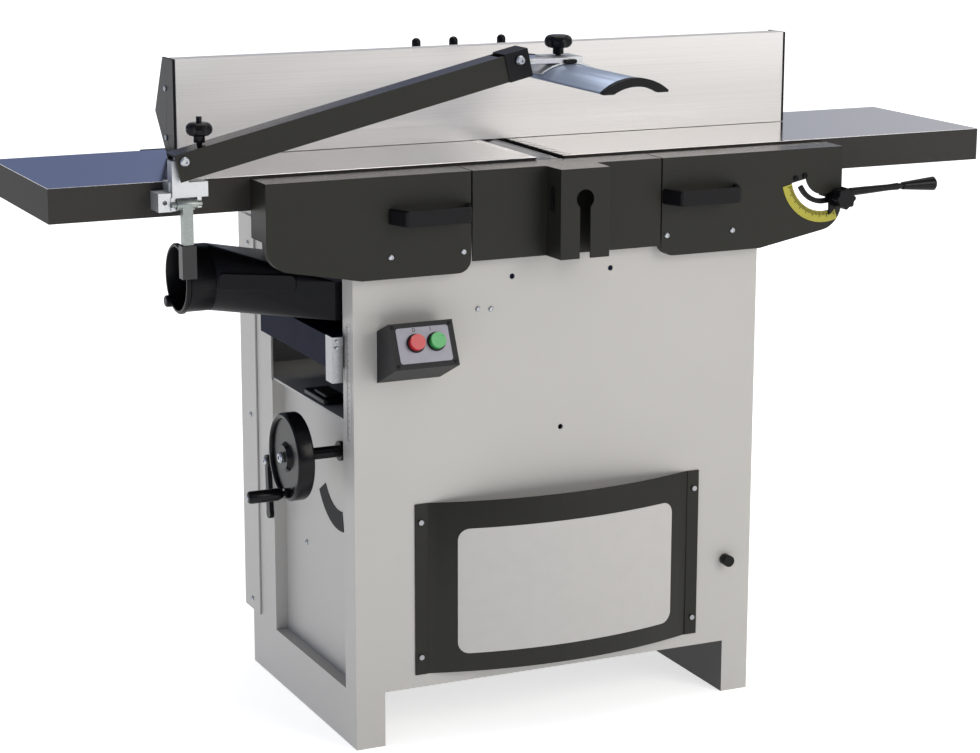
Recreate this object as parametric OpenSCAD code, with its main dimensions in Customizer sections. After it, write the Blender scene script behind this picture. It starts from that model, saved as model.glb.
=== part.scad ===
// Combination planer thicknesser: two planing tables over a cutter block, a rising bed under it,
// a sliding and tilting fence, a bridge guard on an arm, and a sheet steel cabinet.
// X runs along the tables, +Y away from the operator, +Z up, floor at zero. Millimetres.

/* [Cabinet] */
// Height of the table tops above the floor
table_z = 870; // [850:1:890]
// Width of the cabinet, left to right
base_w = 670; // [640:1:690]
// Depth of the cabinet, front to back
base_d = 450; // [440:1:470]
// How far the middle of the cabinet lies behind the origin
base_y = 50; // [40:1:60]
// Thickness of the sheet steel
sheet = 3; // [2:0.5:4]
// Width of each foot seen from the front
foot_w = 46; // [35:1:60]
// Height of the opening between the feet
foot_h = 85; // [60:1:100]
// Height of the front wall behind the side covers
wall_z = 735; // [725:1:745]
// Height of the rear wall
rear_z = 780; // [770:1:790]
// Depth of the front corner posts
post_front = 40; // [30:1:42]
// Depth of the rear corner posts
post_rear = 104; // [100:1:106]
// How far the side panels are set in
recess = 20; // [12:1:28]
// Height of the deck that carries the cutter housings
deck_z = 500; // [490:1:505]
// Depth of the belt box at the back
drive_d = 105; // [90:1:110]
// Height of the top of the rear drive cover
drive_z = 745; // [700:1:750]

/* [Tables] */
// How far the tables are set back from the front wall
table_set = 42; // [38:1:46]
// Depth of the tables, front edge to back edge
table_w = 304; // [300:1:306]
// Length from the cutter axis to the end of each table
table_l = 765; // [700:1:800]
// Height of the table rim
rim_h = 50; // [46:1:52]
// Thickness of the rim and ribs
rim_t = 12; // [8:1:16]
// Thickness of the table plate
plate_t = 14; // [10:1:18]
// Distance from the cutter axis to each table lip
lip_gap = 22; // [21:0.5:26]
// Slots cut in each lip
lip_slots = 18; // [8:1:24]
// Travel of the right table below the left one
cut_depth = 4; // [3:0.5:4]

/* [Cutter and feed] */
// Diameter of the cutter block
cutter_d = 86; // [80:1:88]
// How far the knives stand out of the block
knife_out = 1; // [0.5:0.1:1.5]
// Number of knives
knives = 4; // [2:1:4]
// Radius of the cutter journals
journal_r = 12.5; // [10:0.5:13]
// Radius of the feed rollers
roller_r = 18; // [14:0.5:19]
// Distance from the cutter axis to each feed roller
roller_x = 75; // [70:1:80]
// Number of fingers that stop a board from being thrown back
fingers = 16; // [8:1:18]

/* [Thicknessing bed] */
// Length of the bed
bed_l = 704; // [690:1:740]
// Thickness of the bed
bed_t = 48; // [40:1:50]
// Height of the bed's top as drawn
bed_z = 625; // [620:1:632]
// Travel of the bed below the drawn height
bed_drop = 62; // [40:1:64]
// Radius of the lifting column
column_r = 45; // [35:1:50]
// Height of the handwheel's axis
wheel_z = 438; // [430:1:445]
// Distance of the handwheel's axis from the front wall
wheel_set = 99; // [90:1:104]
// Outer radius of the handwheel
wheel_r = 66; // [60:1:75]

/* [Fence] */
// Length of the fence
fence_l = 1041; // [900:1:1100]
// Height of the fence
fence_h = 146; // [130:1:160]
// Thickness of the fence section
fence_t = 30; // [26:1:30]
// Distance of the fence face from the front edge of the tables
fence_set = 201; // [196:1:204]
// Travel of the fence towards the back
fence_travel = 90; // [60:1:100]

/* [Covers] */
// Distance from the centre to the outer end of each side cover
cover_l = 472; // [440:1:490]
// Half the width of the centre cover
cover_half = 155; // [140:1:160]
// Height of the underside of the side covers
cover_z = 717; // [712:1:725]
// How far the covers stand in front of the tables
cover_d = 62; // [60:1:66]
// How far the keyhole boss stands out of the centre cover
boss_d = 45; // [30:1:50]
// Width of the keyhole boss
boss_w = 80; // [70:1:90]

/* [Guard] */
// Distance from the end of the left cover to the guard arm's pivot
arm_gap = 111; // [100:1:120]
// Slope of the guard arm in degrees
arm_tilt = 13; // [12:0.5:14]
// Distance from the arm's pivot to the head's pivot
arm_l = 523; // [500:1:530]
// Width of the bridge beam
beam_w = 100; // [80:1:104]
// Length of the bridge beam
beam_l = 360; // [330:1:370]
// How far the beam reaches in front of the covers
beam_out = 185; // [150:1:190]

/* [Switch and access cover] */
// Width of the switch box
switch_w = 100; // [90:1:120]
// Lean of the switch face in degrees
switch_lean = 25; // [15:1:35]
// Radius of the push buttons
button_r = 11.5; // [9:0.5:13]
// Travel of the push buttons
button_travel = 3; // [2:0.5:4]
// Width of the access cover
access_w = 480; // [440:1:500]
// Height of the access cover
access_h = 266; // [240:1:280]
// How far the access cover bows out
access_bow = 37; // [20:1:45]

/* [Clearances] */
// Gap between faces that pass each other
clear = 0.3; // [0.2:0.05:0.5]
// Radial clearance of shafts and pins in their holes
run = 0.05; // [0.02:0.01:0.08]
// Overrun of every cut
over = 1; // [0.5:0.5:2]

/* [Hidden] */
$fn = 48;

// Paint and material colours
grey_paint = [0.74, 0.73, 0.71];
charcoal = [0.22, 0.22, 0.2];
black = [0.08, 0.08, 0.09];
cast_iron = [0.27, 0.26, 0.27];
bright = [0.72, 0.72, 0.74];
pale_alloy = [0.85, 0.86, 0.88];
red = [0.82, 0.2, 0.22];
green = [0.22, 0.6, 0.32];

// Main planes
half_w = base_w / 2;
plinth_in = [foot_w - half_w - sheet, foot_w - half_w];
front_y = base_y - base_d / 2;
back_y = base_y + base_d / 2;
table_y = front_y + table_set;
table_back = table_y + table_w;
cover_y = table_y - cover_d;
rim_z = table_z - rim_h;
under_z = table_z - plate_t;
mid_y = table_y + table_w / 2;

// Cutter, rollers and their housings
cutter_r = cutter_d / 2;
cut_r = cutter_r + knife_out;
cutter_z = table_z - cut_r;
end_gap = 2;
block_front = table_y + end_gap;
block_back = table_back - end_gap;
housing_half = 200;
housing_t = 16;
rear_housing_t = 18;
rear_gap = 7;
front_in = front_y + sheet + housing_t;
rear_in = table_back + rear_gap;
rear_out = rear_in + rear_housing_t;
housing_drop = 2;
housing_z = rim_z - housing_drop;
raised_drop = 12;
raised_z = rim_z - raised_drop;
pedestal_half = 36;
pedestal_wall = 4;
bearing_r = 20;
pedestal_z = cutter_z + bearing_r + pedestal_wall;
roller_bite = 2;
roller_z = cutter_z - cut_r - roller_bite + roller_r;
roller_journal_r = 10;
bush_r = 14;
pulley_w = 30;
pulley_gap = 4;
cutter_pulley_r = 28;
motor_pulley_r = 45;
groove_r = 2;
belt_t = 5;
belt_w = 24;
pulley_y = rear_out + pulley_gap;
shaft_front = 30;
lip_clear = 3;
rim_notch = 70;
rim_notch_h = 24;
slot_w = 5;
slot_l = 16;
rib_x = 90;
finger_x = 130;
finger_rod_r = 6;
finger_eye_r = 11;
finger_l = 42;
finger_w = 16;
finger_t = 8;
finger_gap = 8;
finger_z = rim_z - finger_eye_r - finger_gap;

// Tray and belt box behind the rear wall
drive_lift = 5;
tray_d = 30;
tray_wrap = 39;
belt_box_x = -110;
belt_box_z = 560;

// Motor, hung under the deck
motor_x = 180;
motor_z = 330;
motor_r = 80;
motor_front = -60;
motor_back = rear_in - rear_gap * 3;
motor_shaft_r = 12;
motor_bore_l = 80;
motor_pad_x = 60;
motor_pad_front = 20;
motor_pad_l = 130;
motor_rib_t = 6;
motor_rib_out = 6;
motor_ribs = 8;

// Table hinge at the back
hinge_back = 64;
hinge_drop = 70;
hinge_y = table_back + hinge_back;
hinge_z = table_z - hinge_drop;
hinge_pin_r = 8;
hinge_eye_r = 16;
lug_t = 14;
lug_xs = [246, 306];
lug_l = 60;
lug_up = 10;
lug_down = 12;
lug_rise = 6;
hinge_foot = 60;
hinge_top = 2;
hinge_foot_z = rear_z - hinge_foot;
hinge_top_z = rear_z - hinge_top;

// Bed, column and lift
bed_half = bed_l / 2;
bed_bottom = bed_z - bed_t;
bed_y = mid_y;
bed_front = block_front;
bed_back = block_back;
bed_pocket = 24;
bed_wall = 18;
bed_web = 60;
wheel_y = front_y + wheel_set;
screw_r = 10;
screw_short = 5;
screw_top = bed_z - bed_drop - screw_short;
nut_r = 22;
nut_room = 26;
nut_l = bed_bottom - bed_drop - wheel_z - nut_room;
screw_skin = 5;
sleeve_t = 15;
sleeve_r = column_r + sleeve_t;
sleeve_flange = 20;
sleeve_flange_t = 8;
sleeve_drop = 44;
footstep_drop = 20;
sleeve_bottom = wheel_z - sleeve_drop;
footstep_z = wheel_z - footstep_drop;
footstep_half = 18;
gear_in = 12.6;
gear_out = 23;
gear_gap = 0.4;
bracket_half = 24;
bracket_x = 65;
bracket_t = 20;
column_l = 200;
shaft_r = 9;
panel_x = half_w - recess;

// Handwheel and levers on the left side
wheel_out = 60;
wheel_x = -half_w - wheel_out;
rim_half = 13;
rim_band = 9;
rim_round = 4;
hub_r = 18;
hub_l = 28;
web_t = 8;
web_back = -8;
hub_flare = 5;
crank_boss_r = 8;
crank_at = 56;
crank_pin_r = 4;
crank_r = 9.5;
crank_l = 54;
crank_gap = 3;
crank_round = 4;
crank_skin = 6;
crank_neck_share = 0.7;
flange_r = 15;
flange_t = 6;
lever_in = 92;
lever_y = back_y - lever_in;
lever_z = 362;
lever_pin_r = 6;
lever_hub_r = 10;
lever_l = 84;
lever_lean = 6;
lever_neck = 11;
lever_w = 15;
lever_end_r = 8.6;
lever_t = 7;

// Bed pointer on the left end of the bed
pointer_w = 17;
pointer_out = 14;
pointer_in = 12;
pointer_t = 4;
pointer_up = 3;
pointer_drop = 66;
pointer_block_h = 14;
pointer_block_t = 2;

// Dust hood under the cutter
hood_t = 2.5;
spigot_r = 50;
spigot_x = -536;
spigot_l = 46;
spigot_z = 700;
hood_out = 6;
hood_x = -half_w - hood_out;
hood_low = 648;
hood_mid = 705;
hood_end = 58;
hood_rise = 70;
hood_half = 143;
hood_tab = 30;
hood_tab_t = 10;
hood_gap = 12;
hood_top = cutter_z - cut_r - hood_gap;

// Covers
top_t = 2.5;
cover_drop = 4;
cover_top = table_z - cover_drop;
band_gap = 2;
band_d = front_y - cover_y - band_gap;
cover_gap = 2;
cover_in = cover_half + cover_gap;
corner_r = 20;
chamfer_x = 144;
chamfer_h = 30;
skirt_z = 85;
boss_flare = 2;
boss_x = 5.5;
key_drop = 5;
boss_bottom = 733;
key_r = 14;
slot_half = 8.5;
standoff_x = 120;
standoff_w = 24;
standoff_z = 770;
handle_x = 222;
handle_w = 102;
handle_h = 24;
handle_z = 796;
handle_d = 36;
handle_t = 6;
handle_splay = 12;
handle_foot = 2;

// Height lever and its scale window on the right cover
scale_x = 440;
scale_z = 826;
axle_r = 8;
axle_eye_r = 15;
window_in = 33;
window_out = 59;
window_from = 192;
window_to = 296;
strip_in = 40;
strip_out = 48;
strip_from = 205;
strip_to = 294;
lever_plate_t = 4;
lever_stud_r = 4;
lever_stud_at = 44;
lever_stud_angle = 288;
lever_arm_half = 6;
lever_hub_x = 25;
lever_hub_drop = 38;
lever_knob_r = 14;
lever_knob_l = 22;
lever_pointer_x = 8;
lever_pointer_drop = 65;
rod_r = 4.5;
rod_root = 8;
rod_rise = 12;
rod_l = 108;
grip_l = 60;
grip_r = 11;
grip_tip_r = 6;
grip_round = 3;

// Right table carrier
carrier_gap = 3;
carrier_top = rim_z - cut_depth - carrier_gap;
carrier_h = 28;
carrier_rail_d = 12;
post_r = 12;
post_gap = 6;
post_z = under_z - cut_depth - post_gap;
boss_r = 20;
boss_foot = 2;
post_y = mid_y;

// Fence and its carriage
fence_y = table_y + fence_set;
fence_back = fence_y + fence_t;
fence_x = 3;
fence_wall = 4;
fence_rib = 3;
fence_lift = 0.5;
cap_t = 4;
cap_top_w = 49;
cap_rear_w = 90;
cap_rear_h = 61;
cap_low_w = 43;
cap_low_h = 6;
cap_hole_in = 37;
cap_hole_low = 27;
cap_hole_high = 100;
cap_hole_r = 3;
rail_t = 12;
rail_z = table_z;
rail_h = 35;
rail_left = -535;
rail_right = -40;
bar_x = -65;
bar_w = 40;
bar_t = 18;
bar_gap = 8;
bar_front = fence_back + bar_gap;
bar_l = 160;
pivot_back = 8;
pivot_rise = 14;
pivot_y = fence_back + pivot_back;
pivot_z = table_z + pivot_rise;
pivot_r = 5;
pivot_boss = 7.5;
carriage_w = 66;
carriage_back = 56;
carriage_gap = 1;
carriage_h = 28;
carriage_low = rail_z + carriage_gap;
carriage_top = rail_z + carriage_h;
web_w = 8;
left_web_x = -121;
mid_web_x = -58;
right_web_x = 24;
plate_from = 76;
plate_to = 130;
plate_low = table_z + plate_from;
plate_high = table_z + plate_to;
bracket_plate_t = 6;
clamp_back = 28;
clamp_up = 86;
clamp_y = fence_back + clamp_back;
clamp_z = table_z + clamp_up;
clamp_r = 9;
clamp_pin_r = 4;
clamp_l = 16;
clamp_arm = 70;
clamp_arm_r = 7;

// Guard
pivot_up = 32.6;
arm_pivot_z = table_z + pivot_up;
arm_w = 38;
arm_off = 46;
arm_front = table_y - arm_off;
arm_back = arm_front + arm_w;
arm_wall = 3;
arm_up = 12;
arm_down = 27;
arm_tail = 12;
arm_nose = 14;
arm_open = 30;
arm_pin_r = 5;
arm_mid = (arm_front + arm_back) / 2;
plate_half = 10;
bracket_drop = 38;
bracket_up = 2;
bracket_low = table_z - bracket_drop;
bracket_top = table_z + bracket_up;
bracket_out = 36;
bracket_in = 36;
arm_x = cover_l + arm_gap;
bracket_left = -arm_x - bracket_out;
bracket_right = -arm_x + bracket_in;
socket_w = 19;
socket_r = 3.4;
socket_front = 11;
socket_up = 26;
post_half = 8;
post_left = 16;
nub_drop = 6;
clamp_in = 9;
clamp_drop = 28;
clamp_pivot_y = arm_front + clamp_in;
clamp_pivot_z = table_z - clamp_drop;
lever_pin = 4;
lever_hub = 8;
lever_near = 11;
lever_far = 19;
lever_left = -arm_x - lever_near;
lever_right = -arm_x + lever_far;
ear_t = 6;
ear_gap = 1;
bar_half = 7.5;
bar_flat_t = 12;
bar_drop = 58;
grip_half = 10.5;
grip_d = 16;
grip_h = 47;
knob_r = 19;
lock_knob_r = 21;
knob_h = 19;
knob_neck_r = 8;
knob_neck_h = 9;
knob_stem_r = 4;
lobe_at_share = 1.3;
lobe_r_share = 0.5;
knob_in = 28;
knob_x = -arm_x + knob_in;
knob_up = 74;
stem_up = 9;
knob_z = table_z + knob_up;
knob_stem_low = table_z + stem_up;
stud_h = 8;
beam_rise = 18;
beam_t = 3;
cap_len = 12;
cap_more = 2.5;
cap_deep = 8;
pivot_set = 1;
head_pivot_x = -arm_x + arm_l * cos(arm_tilt) + pivot_set * sin(arm_tilt);
head_pivot_z = arm_pivot_z + arm_l * sin(arm_tilt) - pivot_set * cos(arm_tilt);
head_reach = 85.2;
head_drop = 9.3;
beam_x = head_pivot_x + head_reach;
beam_z = head_pivot_z - head_drop;
saddle_t = 3;
saddle_in = 4;
saddle_out = 12;
tongue_half = 11;
tongue_h = 12;
head_plate_t = 6;
head_plate_half = 27;
head_in = 19;
head_back = 23;
head_plate_front = arm_front + head_in;
head_plate_back = table_y + head_back;
lock_y = table_y;
lock_up = 30;
lock_knob_z = beam_z + lock_up;

// Switch box, knob and access cover
switch_x = -298;
switch_out_top = 42;
switch_out_low = 71.5;
switch_z_top = 656;
switch_z_low = 594;
switch_wall_top = 638;
switch_wall_low = 561;
stop_share = 0.37;
start_share = 0.69;
button_share = 0.46;
button_out = 9;
stem_r = 8;
stem_l = 16;
collar_r = 14;
collar_h = 3;
panel_knob_x = 290;
panel_knob_z = 220;
panel_knob_r = 9;
panel_knob_l = 16;
panel_pin_r = 5;
anchor_r = 6;
anchor_x = 25;
anchor_y = 20;
access_z = 105;
access_t = 2.5;
access_flange = 18;
access_hole = 15;
screw_head_r = 4;
screw_head_h = 3;
screw_in = 9;
screw_up = 28;
mount_x = 81.5;
mount_z = 702;
mount_low_z = 465;
mount_r = 4.25;

// Box between two corners
module slab(x, y, z) {
    translate([x[0], y[0], z[0]])
        cube([x[1] - x[0], y[1] - y[0], z[1] - z[0]]);
}

// Round bar along X, from x0 to x1
module rod_x(x0, x1, y, z, r) {
    translate([x0, y, z]) rotate([0, 90, 0]) cylinder(h = x1 - x0, r = r);
}

// Round bar along Y, from y0 to y1
module rod_y(y0, y1, x, z, r) {
    translate([x, y0, z]) rotate([-90, 0, 0]) cylinder(h = y1 - y0, r = r);
}

// Round bar along Z, from z0 to z1
module rod_z(z0, z1, x, y, r) {
    translate([x, y, z0]) cylinder(h = z1 - z0, r = r);
}

// An outline drawn in X and Z, extruded from y0 to y1
module along_y(y0, y1) {
    translate([0, y1, 0]) rotate([90, 0, 0]) linear_extrude(height = y1 - y0) children();
}

// An outline drawn in Y and Z, extruded from x0 to x1
module along_x(x0, x1) {
    translate([x0, 0, 0]) rotate([90, 0, 90]) linear_extrude(height = x1 - x0) children();
}

// The child and its mirror image in X
module both_sides() {
    children();
    mirror([1, 0, 0]) children();
}

// Points of an arc, for outlines
function arc(cx, cy, r, from, to, n = 8) =
    [for (i = [0 : n]) [cx + r * cos(from + (to - from) * i / n),
        cy + r * sin(from + (to - from) * i / n)]];

// Cabinet

module front_wall() {
    color(grey_paint) difference() {
        union() {
            slab([-half_w, half_w], [front_y, front_y + sheet], [0, wall_z]);
            slab([-housing_half, housing_half], [front_y, front_y + sheet], [0, raised_z]);
            both_sides() {
                slab([-half_w, -half_w + sheet], [front_y, front_y + post_front], [0, wall_z]);
                slab([-half_w, foot_w - half_w], [front_y, front_y + post_front], [0, sheet]);
                slab(plinth_in, [front_y, front_y + post_front], [0, foot_h]);
            }
        }
        slab([-half_w + foot_w, half_w - foot_w], [front_y - over, front_y + sheet + over],
            [-over, foot_h]);
        both_sides()
            rod_z(-over, sheet + over, half_w - anchor_x, front_y + anchor_y, anchor_r);
        slab([access_hole - access_w / 2 + access_flange, access_w / 2 - access_flange - access_hole],
            [front_y - over, front_y + sheet + over],
                [access_z + access_hole, access_z + access_h - access_hole]);
        for (x = [-mount_x, mount_x])
            rod_y(front_y - over, front_y + sheet + over, x, mount_z, mount_r);
        rod_y(front_y - over, front_y + sheet + over, 0, mount_low_z, mount_r);
        rod_y(front_y - over, front_y + sheet + over, panel_knob_x, panel_knob_z, panel_pin_r + run);
    }
}

module rear_wall() {
    color(grey_paint) difference() {
        union() {
            slab([-half_w, half_w], [back_y - sheet, back_y], [0, rear_z]);
            both_sides() {
                slab([-half_w, -half_w + sheet], [back_y - post_rear, back_y], [0, rear_z]);
                slab([-half_w, foot_w - half_w], [back_y - post_front, back_y], [0, sheet]);
                slab(plinth_in, [back_y - post_rear, back_y], [0, foot_h]);
            }
        }
        slab([-half_w + foot_w, half_w - foot_w], [back_y - sheet - over, back_y + over],
            [-over, foot_h]);
        both_sides()
            rod_z(-over, sheet + over, half_w - anchor_x, back_y - anchor_y, anchor_r);
        rod_x(-half_w - over, -half_w + sheet + over, lever_y, lever_z, lever_pin_r + run);
    }
}

module side_panel() {
    y = [front_y + post_front, back_y - post_rear];
    slab([-half_w, -half_w + sheet], y, [0, foot_h]);
    slab(plinth_in, y, [0, foot_h]);
    slab([-half_w, foot_w - half_w], y, [foot_h - sheet, foot_h]);
    slab([-panel_x, -panel_x + sheet], y, [foot_h - sheet, deck_z - sheet]);
    slab([-half_w, -panel_x + sheet], [y[0], y[0] + sheet], [foot_h - sheet, deck_z - sheet]);
    slab([-half_w, -panel_x + sheet], [y[1] - sheet, y[1]], [foot_h - sheet, deck_z - sheet]);
}

module left_side_panel() {
    color(grey_paint) difference() {
        side_panel();
        rod_x(-panel_x - over, -panel_x + sheet + over, wheel_y, wheel_z, shaft_r + over);
    }
}

module right_side_panel() {
    color(grey_paint) mirror([1, 0, 0]) side_panel();
}

module deck_plate() {
    belt_x = motor_x * (cutter_z - deck_z) / (cutter_z - motor_z);
    belt_room = motor_pulley_r + belt_t * 3;
    color(grey_paint) difference() {
        slab([-half_w + sheet, half_w - sheet], [front_y + sheet, back_y - sheet],
            [deck_z - sheet, deck_z]);
        rod_z(deck_z - sheet - over, deck_z + over, 0, bed_y, sleeve_r + clear);
        rod_z(deck_z - sheet - over, deck_z + over, 0, wheel_y, nut_r + 2 * over);
        slab([belt_x - belt_room, belt_x + belt_room],
            [pulley_y - over, pulley_y + pulley_w + over], [deck_z - sheet - over, deck_z + over]);
    }
}

// Tray behind the rear wall, wrapped round its left corner, and the deeper belt box on it
module drive_cover() {
    right = housing_half;
    z = [foot_h + drive_lift, drive_z];
    color(grey_paint) {
        difference() {
            union() {
                slab([-half_w, right], [back_y, back_y + tray_d], z);
                slab([belt_box_x, right], [back_y, back_y + drive_d], [z[0], belt_box_z]);
            }
            slab([-half_w + sheet, right - sheet], [back_y - over, back_y + tray_d - sheet],
                [z[0] + sheet, z[1] - sheet]);
            slab([belt_box_x + sheet, right - sheet], [back_y - over, back_y + drive_d - sheet],
                [z[0] + sheet, belt_box_z - sheet]);
        }
        slab([-half_w - sheet, -half_w], [back_y - tray_wrap, back_y + tray_d], z);
    }
}

module access_cover() {
    half = access_w / 2;
    inner = half - access_flange;
    r = (inner * inner + access_bow * access_bow) / (2 * access_bow);
    z = [access_z, access_z + access_h];
    color(charcoal) {
        difference() {
            intersection() {
                rod_z(z[0], z[1], 0, front_y - access_bow + r, r);
                slab([-inner, inner], [front_y - access_bow - over, front_y], z);
            }
            rod_z(z[0] - over, z[1] + over, 0, front_y - access_bow + r, r - access_t);
        }
        both_sides() slab([-half, access_t - inner], [front_y - access_t, front_y], z);
    }
}

// Places that follow the leaning switch face: u along it, v up from its lower edge, w out of it
module on_switch(u, v, w) {
    translate([switch_x, front_y - switch_out_low, switch_z_low])
        rotate([90 - switch_lean, 0, 0]) translate([u, v, w]) children();
}

switch_face = norm([switch_out_low - switch_out_top, switch_z_top - switch_z_low]);
button_v = switch_face * (1 - button_share);
stop_u = switch_w * stop_share;
start_u = switch_w * start_share;

module switch_box() {
    lean = tan(switch_lean) * (switch_z_top - switch_z_low);
    color([0.3, 0.29, 0.3]) difference() {
        union() {
            along_x(switch_x, switch_x + switch_w) polygon([
                [front_y, switch_wall_low], [front_y, switch_wall_top],
                [front_y - switch_out_low + lean, switch_z_top], [front_y - switch_out_low, switch_z_low]
            ]);
            for (u = [stop_u, start_u])
                on_switch(u, button_v, -over) cylinder(h = collar_h + over, r = collar_r);
        }
        for (u = [stop_u, start_u]) {
            on_switch(u, button_v, -stem_l - button_travel - over)
                cylinder(h = stem_l + button_travel + 2 * over, r = stem_r + clear);
            on_switch(u, button_v, collar_h - button_travel - over)
                cylinder(h = button_travel + 2 * over, r = button_r + clear);
        }
    }
}

module button() {
    translate([0, 0, -stem_l]) cylinder(h = stem_l + collar_h, r = stem_r);
    translate([0, 0, collar_h - clear]) cylinder(h = button_out, r = button_r);
}

module stop_button() {
    color(red) on_switch(stop_u, button_v, 0) button();
}

module start_button() {
    color(green) on_switch(start_u, button_v, 0) button();
}

module panel_knob() {
    color(black) {
        rod_y(front_y - panel_knob_l, front_y - clear, panel_knob_x, panel_knob_z, panel_knob_r);
        rod_y(front_y - panel_knob_l, front_y + sheet + panel_knob_l, panel_knob_x, panel_knob_z,
            panel_pin_r);
    }
}

// Cutter, feed and drive

// Plate that carries the cutter and roller bearings, between y0 and y1
module housing(y0, y1, top) {
    difference() {
        union() {
            slab([-housing_half, housing_half], [y0, y1], [deck_z, housing_z]);
            slab([-pedestal_half, pedestal_half], [y0, y1], [deck_z, top]);
        }
        rod_y(y0 - over, y1 + over, 0, cutter_z, bearing_r);
        for (x = [-roller_x, roller_x])
            rod_y(y0 - over, y1 + over, x, roller_z, bush_r);
        rod_y(y0 - over, y1 + over, finger_x, finger_z, finger_rod_r + run);
    }
}

module front_housing() {
    color(cast_iron) {
        housing(front_y + sheet, front_in, pedestal_z);
        both_sides()
            slab([housing_half - 2 * rim_t, housing_half], [front_in, table_y + rim_t],
                [carrier_top - rim_t, carrier_top]);
        rod_z(carrier_top, rim_z, rim_t - housing_half, table_y + rim_t / 2, rim_t / 2);
    }
}

module rear_housing() {
    color(cast_iron) housing(rear_in, rear_out, pedestal_z);
}

module ring_y(y0, y1, x, z, r_out, r_in) {
    difference() {
        rod_y(y0, y1, x, z, r_out);
        rod_y(y0 - over, y1 + over, x, z, r_in);
    }
}

module bearings() {
    color(bright) for (y = [[front_y + sheet, front_in], [rear_in, rear_out]]) {
        ring_y(y[0], y[1], 0, cutter_z, bearing_r, journal_r + run);
        for (x = [-roller_x, roller_x])
            ring_y(y[0], y[1], x, roller_z, bush_r, roller_journal_r + run);
    }
}

knife_t = 3;
gib_t = 9;
knife_root = 26;
gib_drop = 2;

// Slot, knife or gib of the cutter block: a bar along Y from radius r0 to r1
module cutter_bar(angle, t0, t1, r0, r1, extra) {
    translate([0, 0, cutter_z]) rotate([0, angle, 0])
        slab([t0, t1], [block_front - extra, block_back + extra], [r0, r1]);
}

module cutter_block() {
    color(bright) {
        difference() {
            rod_y(block_front, block_back, 0, cutter_z, cutter_r);
            for (i = [0 : knives - 1])
                cutter_bar(i * 360 / knives, 0, knife_t + gib_t, knife_root, cut_r + over, over);
        }
        rod_y(front_y - shaft_front / 2, block_front, 0, cutter_z, journal_r);
        rod_y(block_back, pulley_y + pulley_w, 0, cutter_z, journal_r);
    }
}

module cutter_knives() {
    color(pale_alloy) for (i = [0 : knives - 1]) {
        cutter_bar(i * 360 / knives, 0, knife_t, knife_root, cut_r - clear / 2, 0);
        cutter_bar(i * 360 / knives, knife_t, knife_t + gib_t, knife_root, cutter_r - gib_drop, 0);
    }
}

// Grooved pulley between y0 and y1
module pulley(x, z, r, bore) {
    difference() {
        rod_y(pulley_y, pulley_y + pulley_w, x, z, r);
        rod_y(pulley_y - over, pulley_y + pulley_w + over, x, z, bore);
        for (i = [1 : 3])
            ring_y(pulley_y + pulley_w * i / 4 - groove_r, pulley_y + pulley_w * i / 4 + groove_r,
                x, z, r + over, r - groove_r);
    }
}

module cutter_pulley() {
    color(cast_iron) pulley(0, cutter_z, cutter_pulley_r, journal_r);
}

module motor() {
    rib_pitch = (motor_back - motor_front - motor_rib_t) / (motor_ribs + 1);
    color([0.25, 0.27, 0.3]) difference() {
        union() {
            rod_y(motor_front, motor_back, motor_x, motor_z, motor_r);
            slab([motor_x - motor_pad_x, motor_x + motor_pad_x],
                [motor_front + motor_pad_front, motor_front + motor_pad_front + motor_pad_l],
                [motor_z + motor_r / 2, deck_z - sheet]);
            for (i = [1 : motor_ribs])
                rod_y(motor_front + rib_pitch * i, motor_front + rib_pitch * i + motor_rib_t,
                    motor_x, motor_z, motor_r + motor_rib_out);
        }
        rod_y(motor_back - motor_bore_l, motor_back + over, motor_x, motor_z, motor_shaft_r + run);
    }
}

module motor_pulley() {
    color(cast_iron) {
        pulley(motor_x, motor_z, motor_pulley_r, motor_shaft_r);
        rod_y(motor_back - motor_bore_l + over, pulley_y + pulley_w, motor_x, motor_z, motor_shaft_r);
    }
}

// Loop round both pulleys, t outside their rims
module belt_outline(t) {
    hull() {
        translate([0, cutter_z]) circle(r = cutter_pulley_r + t);
        translate([motor_x, motor_z]) circle(r = motor_pulley_r + t);
    }
}

module drive_belt() {
    y = pulley_y + pulley_w / 2;
    color(black) along_y(y - belt_w / 2, y + belt_w / 2) difference() {
        belt_outline(belt_t);
        belt_outline(clear);
    }
}

module feed_roller(x) {
    rod_y(block_front, block_back, x, roller_z, roller_r);
    rod_y(front_y + sheet, rear_out, x, roller_z, roller_journal_r);
}

module infeed_roller() {
    grooves = 20;
    groove = 2;
    color(bright) difference() {
        feed_roller(roller_x);
        for (i = [0 : grooves - 1])
            translate([roller_x, 0, roller_z]) rotate([0, i * 360 / grooves, 0])
                slab([-groove / 2, groove / 2], [block_front - over, block_back + over],
                    [roller_r - groove, roller_r + over]);
    }
}

module outfeed_roller() {
    color(cast_iron) feed_roller(-roller_x);
}

module kickback_fingers() {
    pitch = (block_back - block_front - finger_t) / (fingers - 1);
    color(cast_iron) {
        rod_y(front_y + sheet + clear, rear_out, finger_x, finger_z, finger_rod_r);
        for (i = [0 : fingers - 1])
            along_y(block_front + i * pitch, block_front + i * pitch + finger_t) {
                translate([finger_x, finger_z]) circle(r = finger_eye_r);
                polygon([
                    [finger_x - finger_w / 2, finger_z], [finger_x + finger_w / 2, finger_z],
                    [finger_x + finger_w / 4, finger_z - finger_l],
                        [finger_x - finger_w / 4, finger_z - finger_l]
                ]);
            }
    }
}

// Bed and its lift

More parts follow.
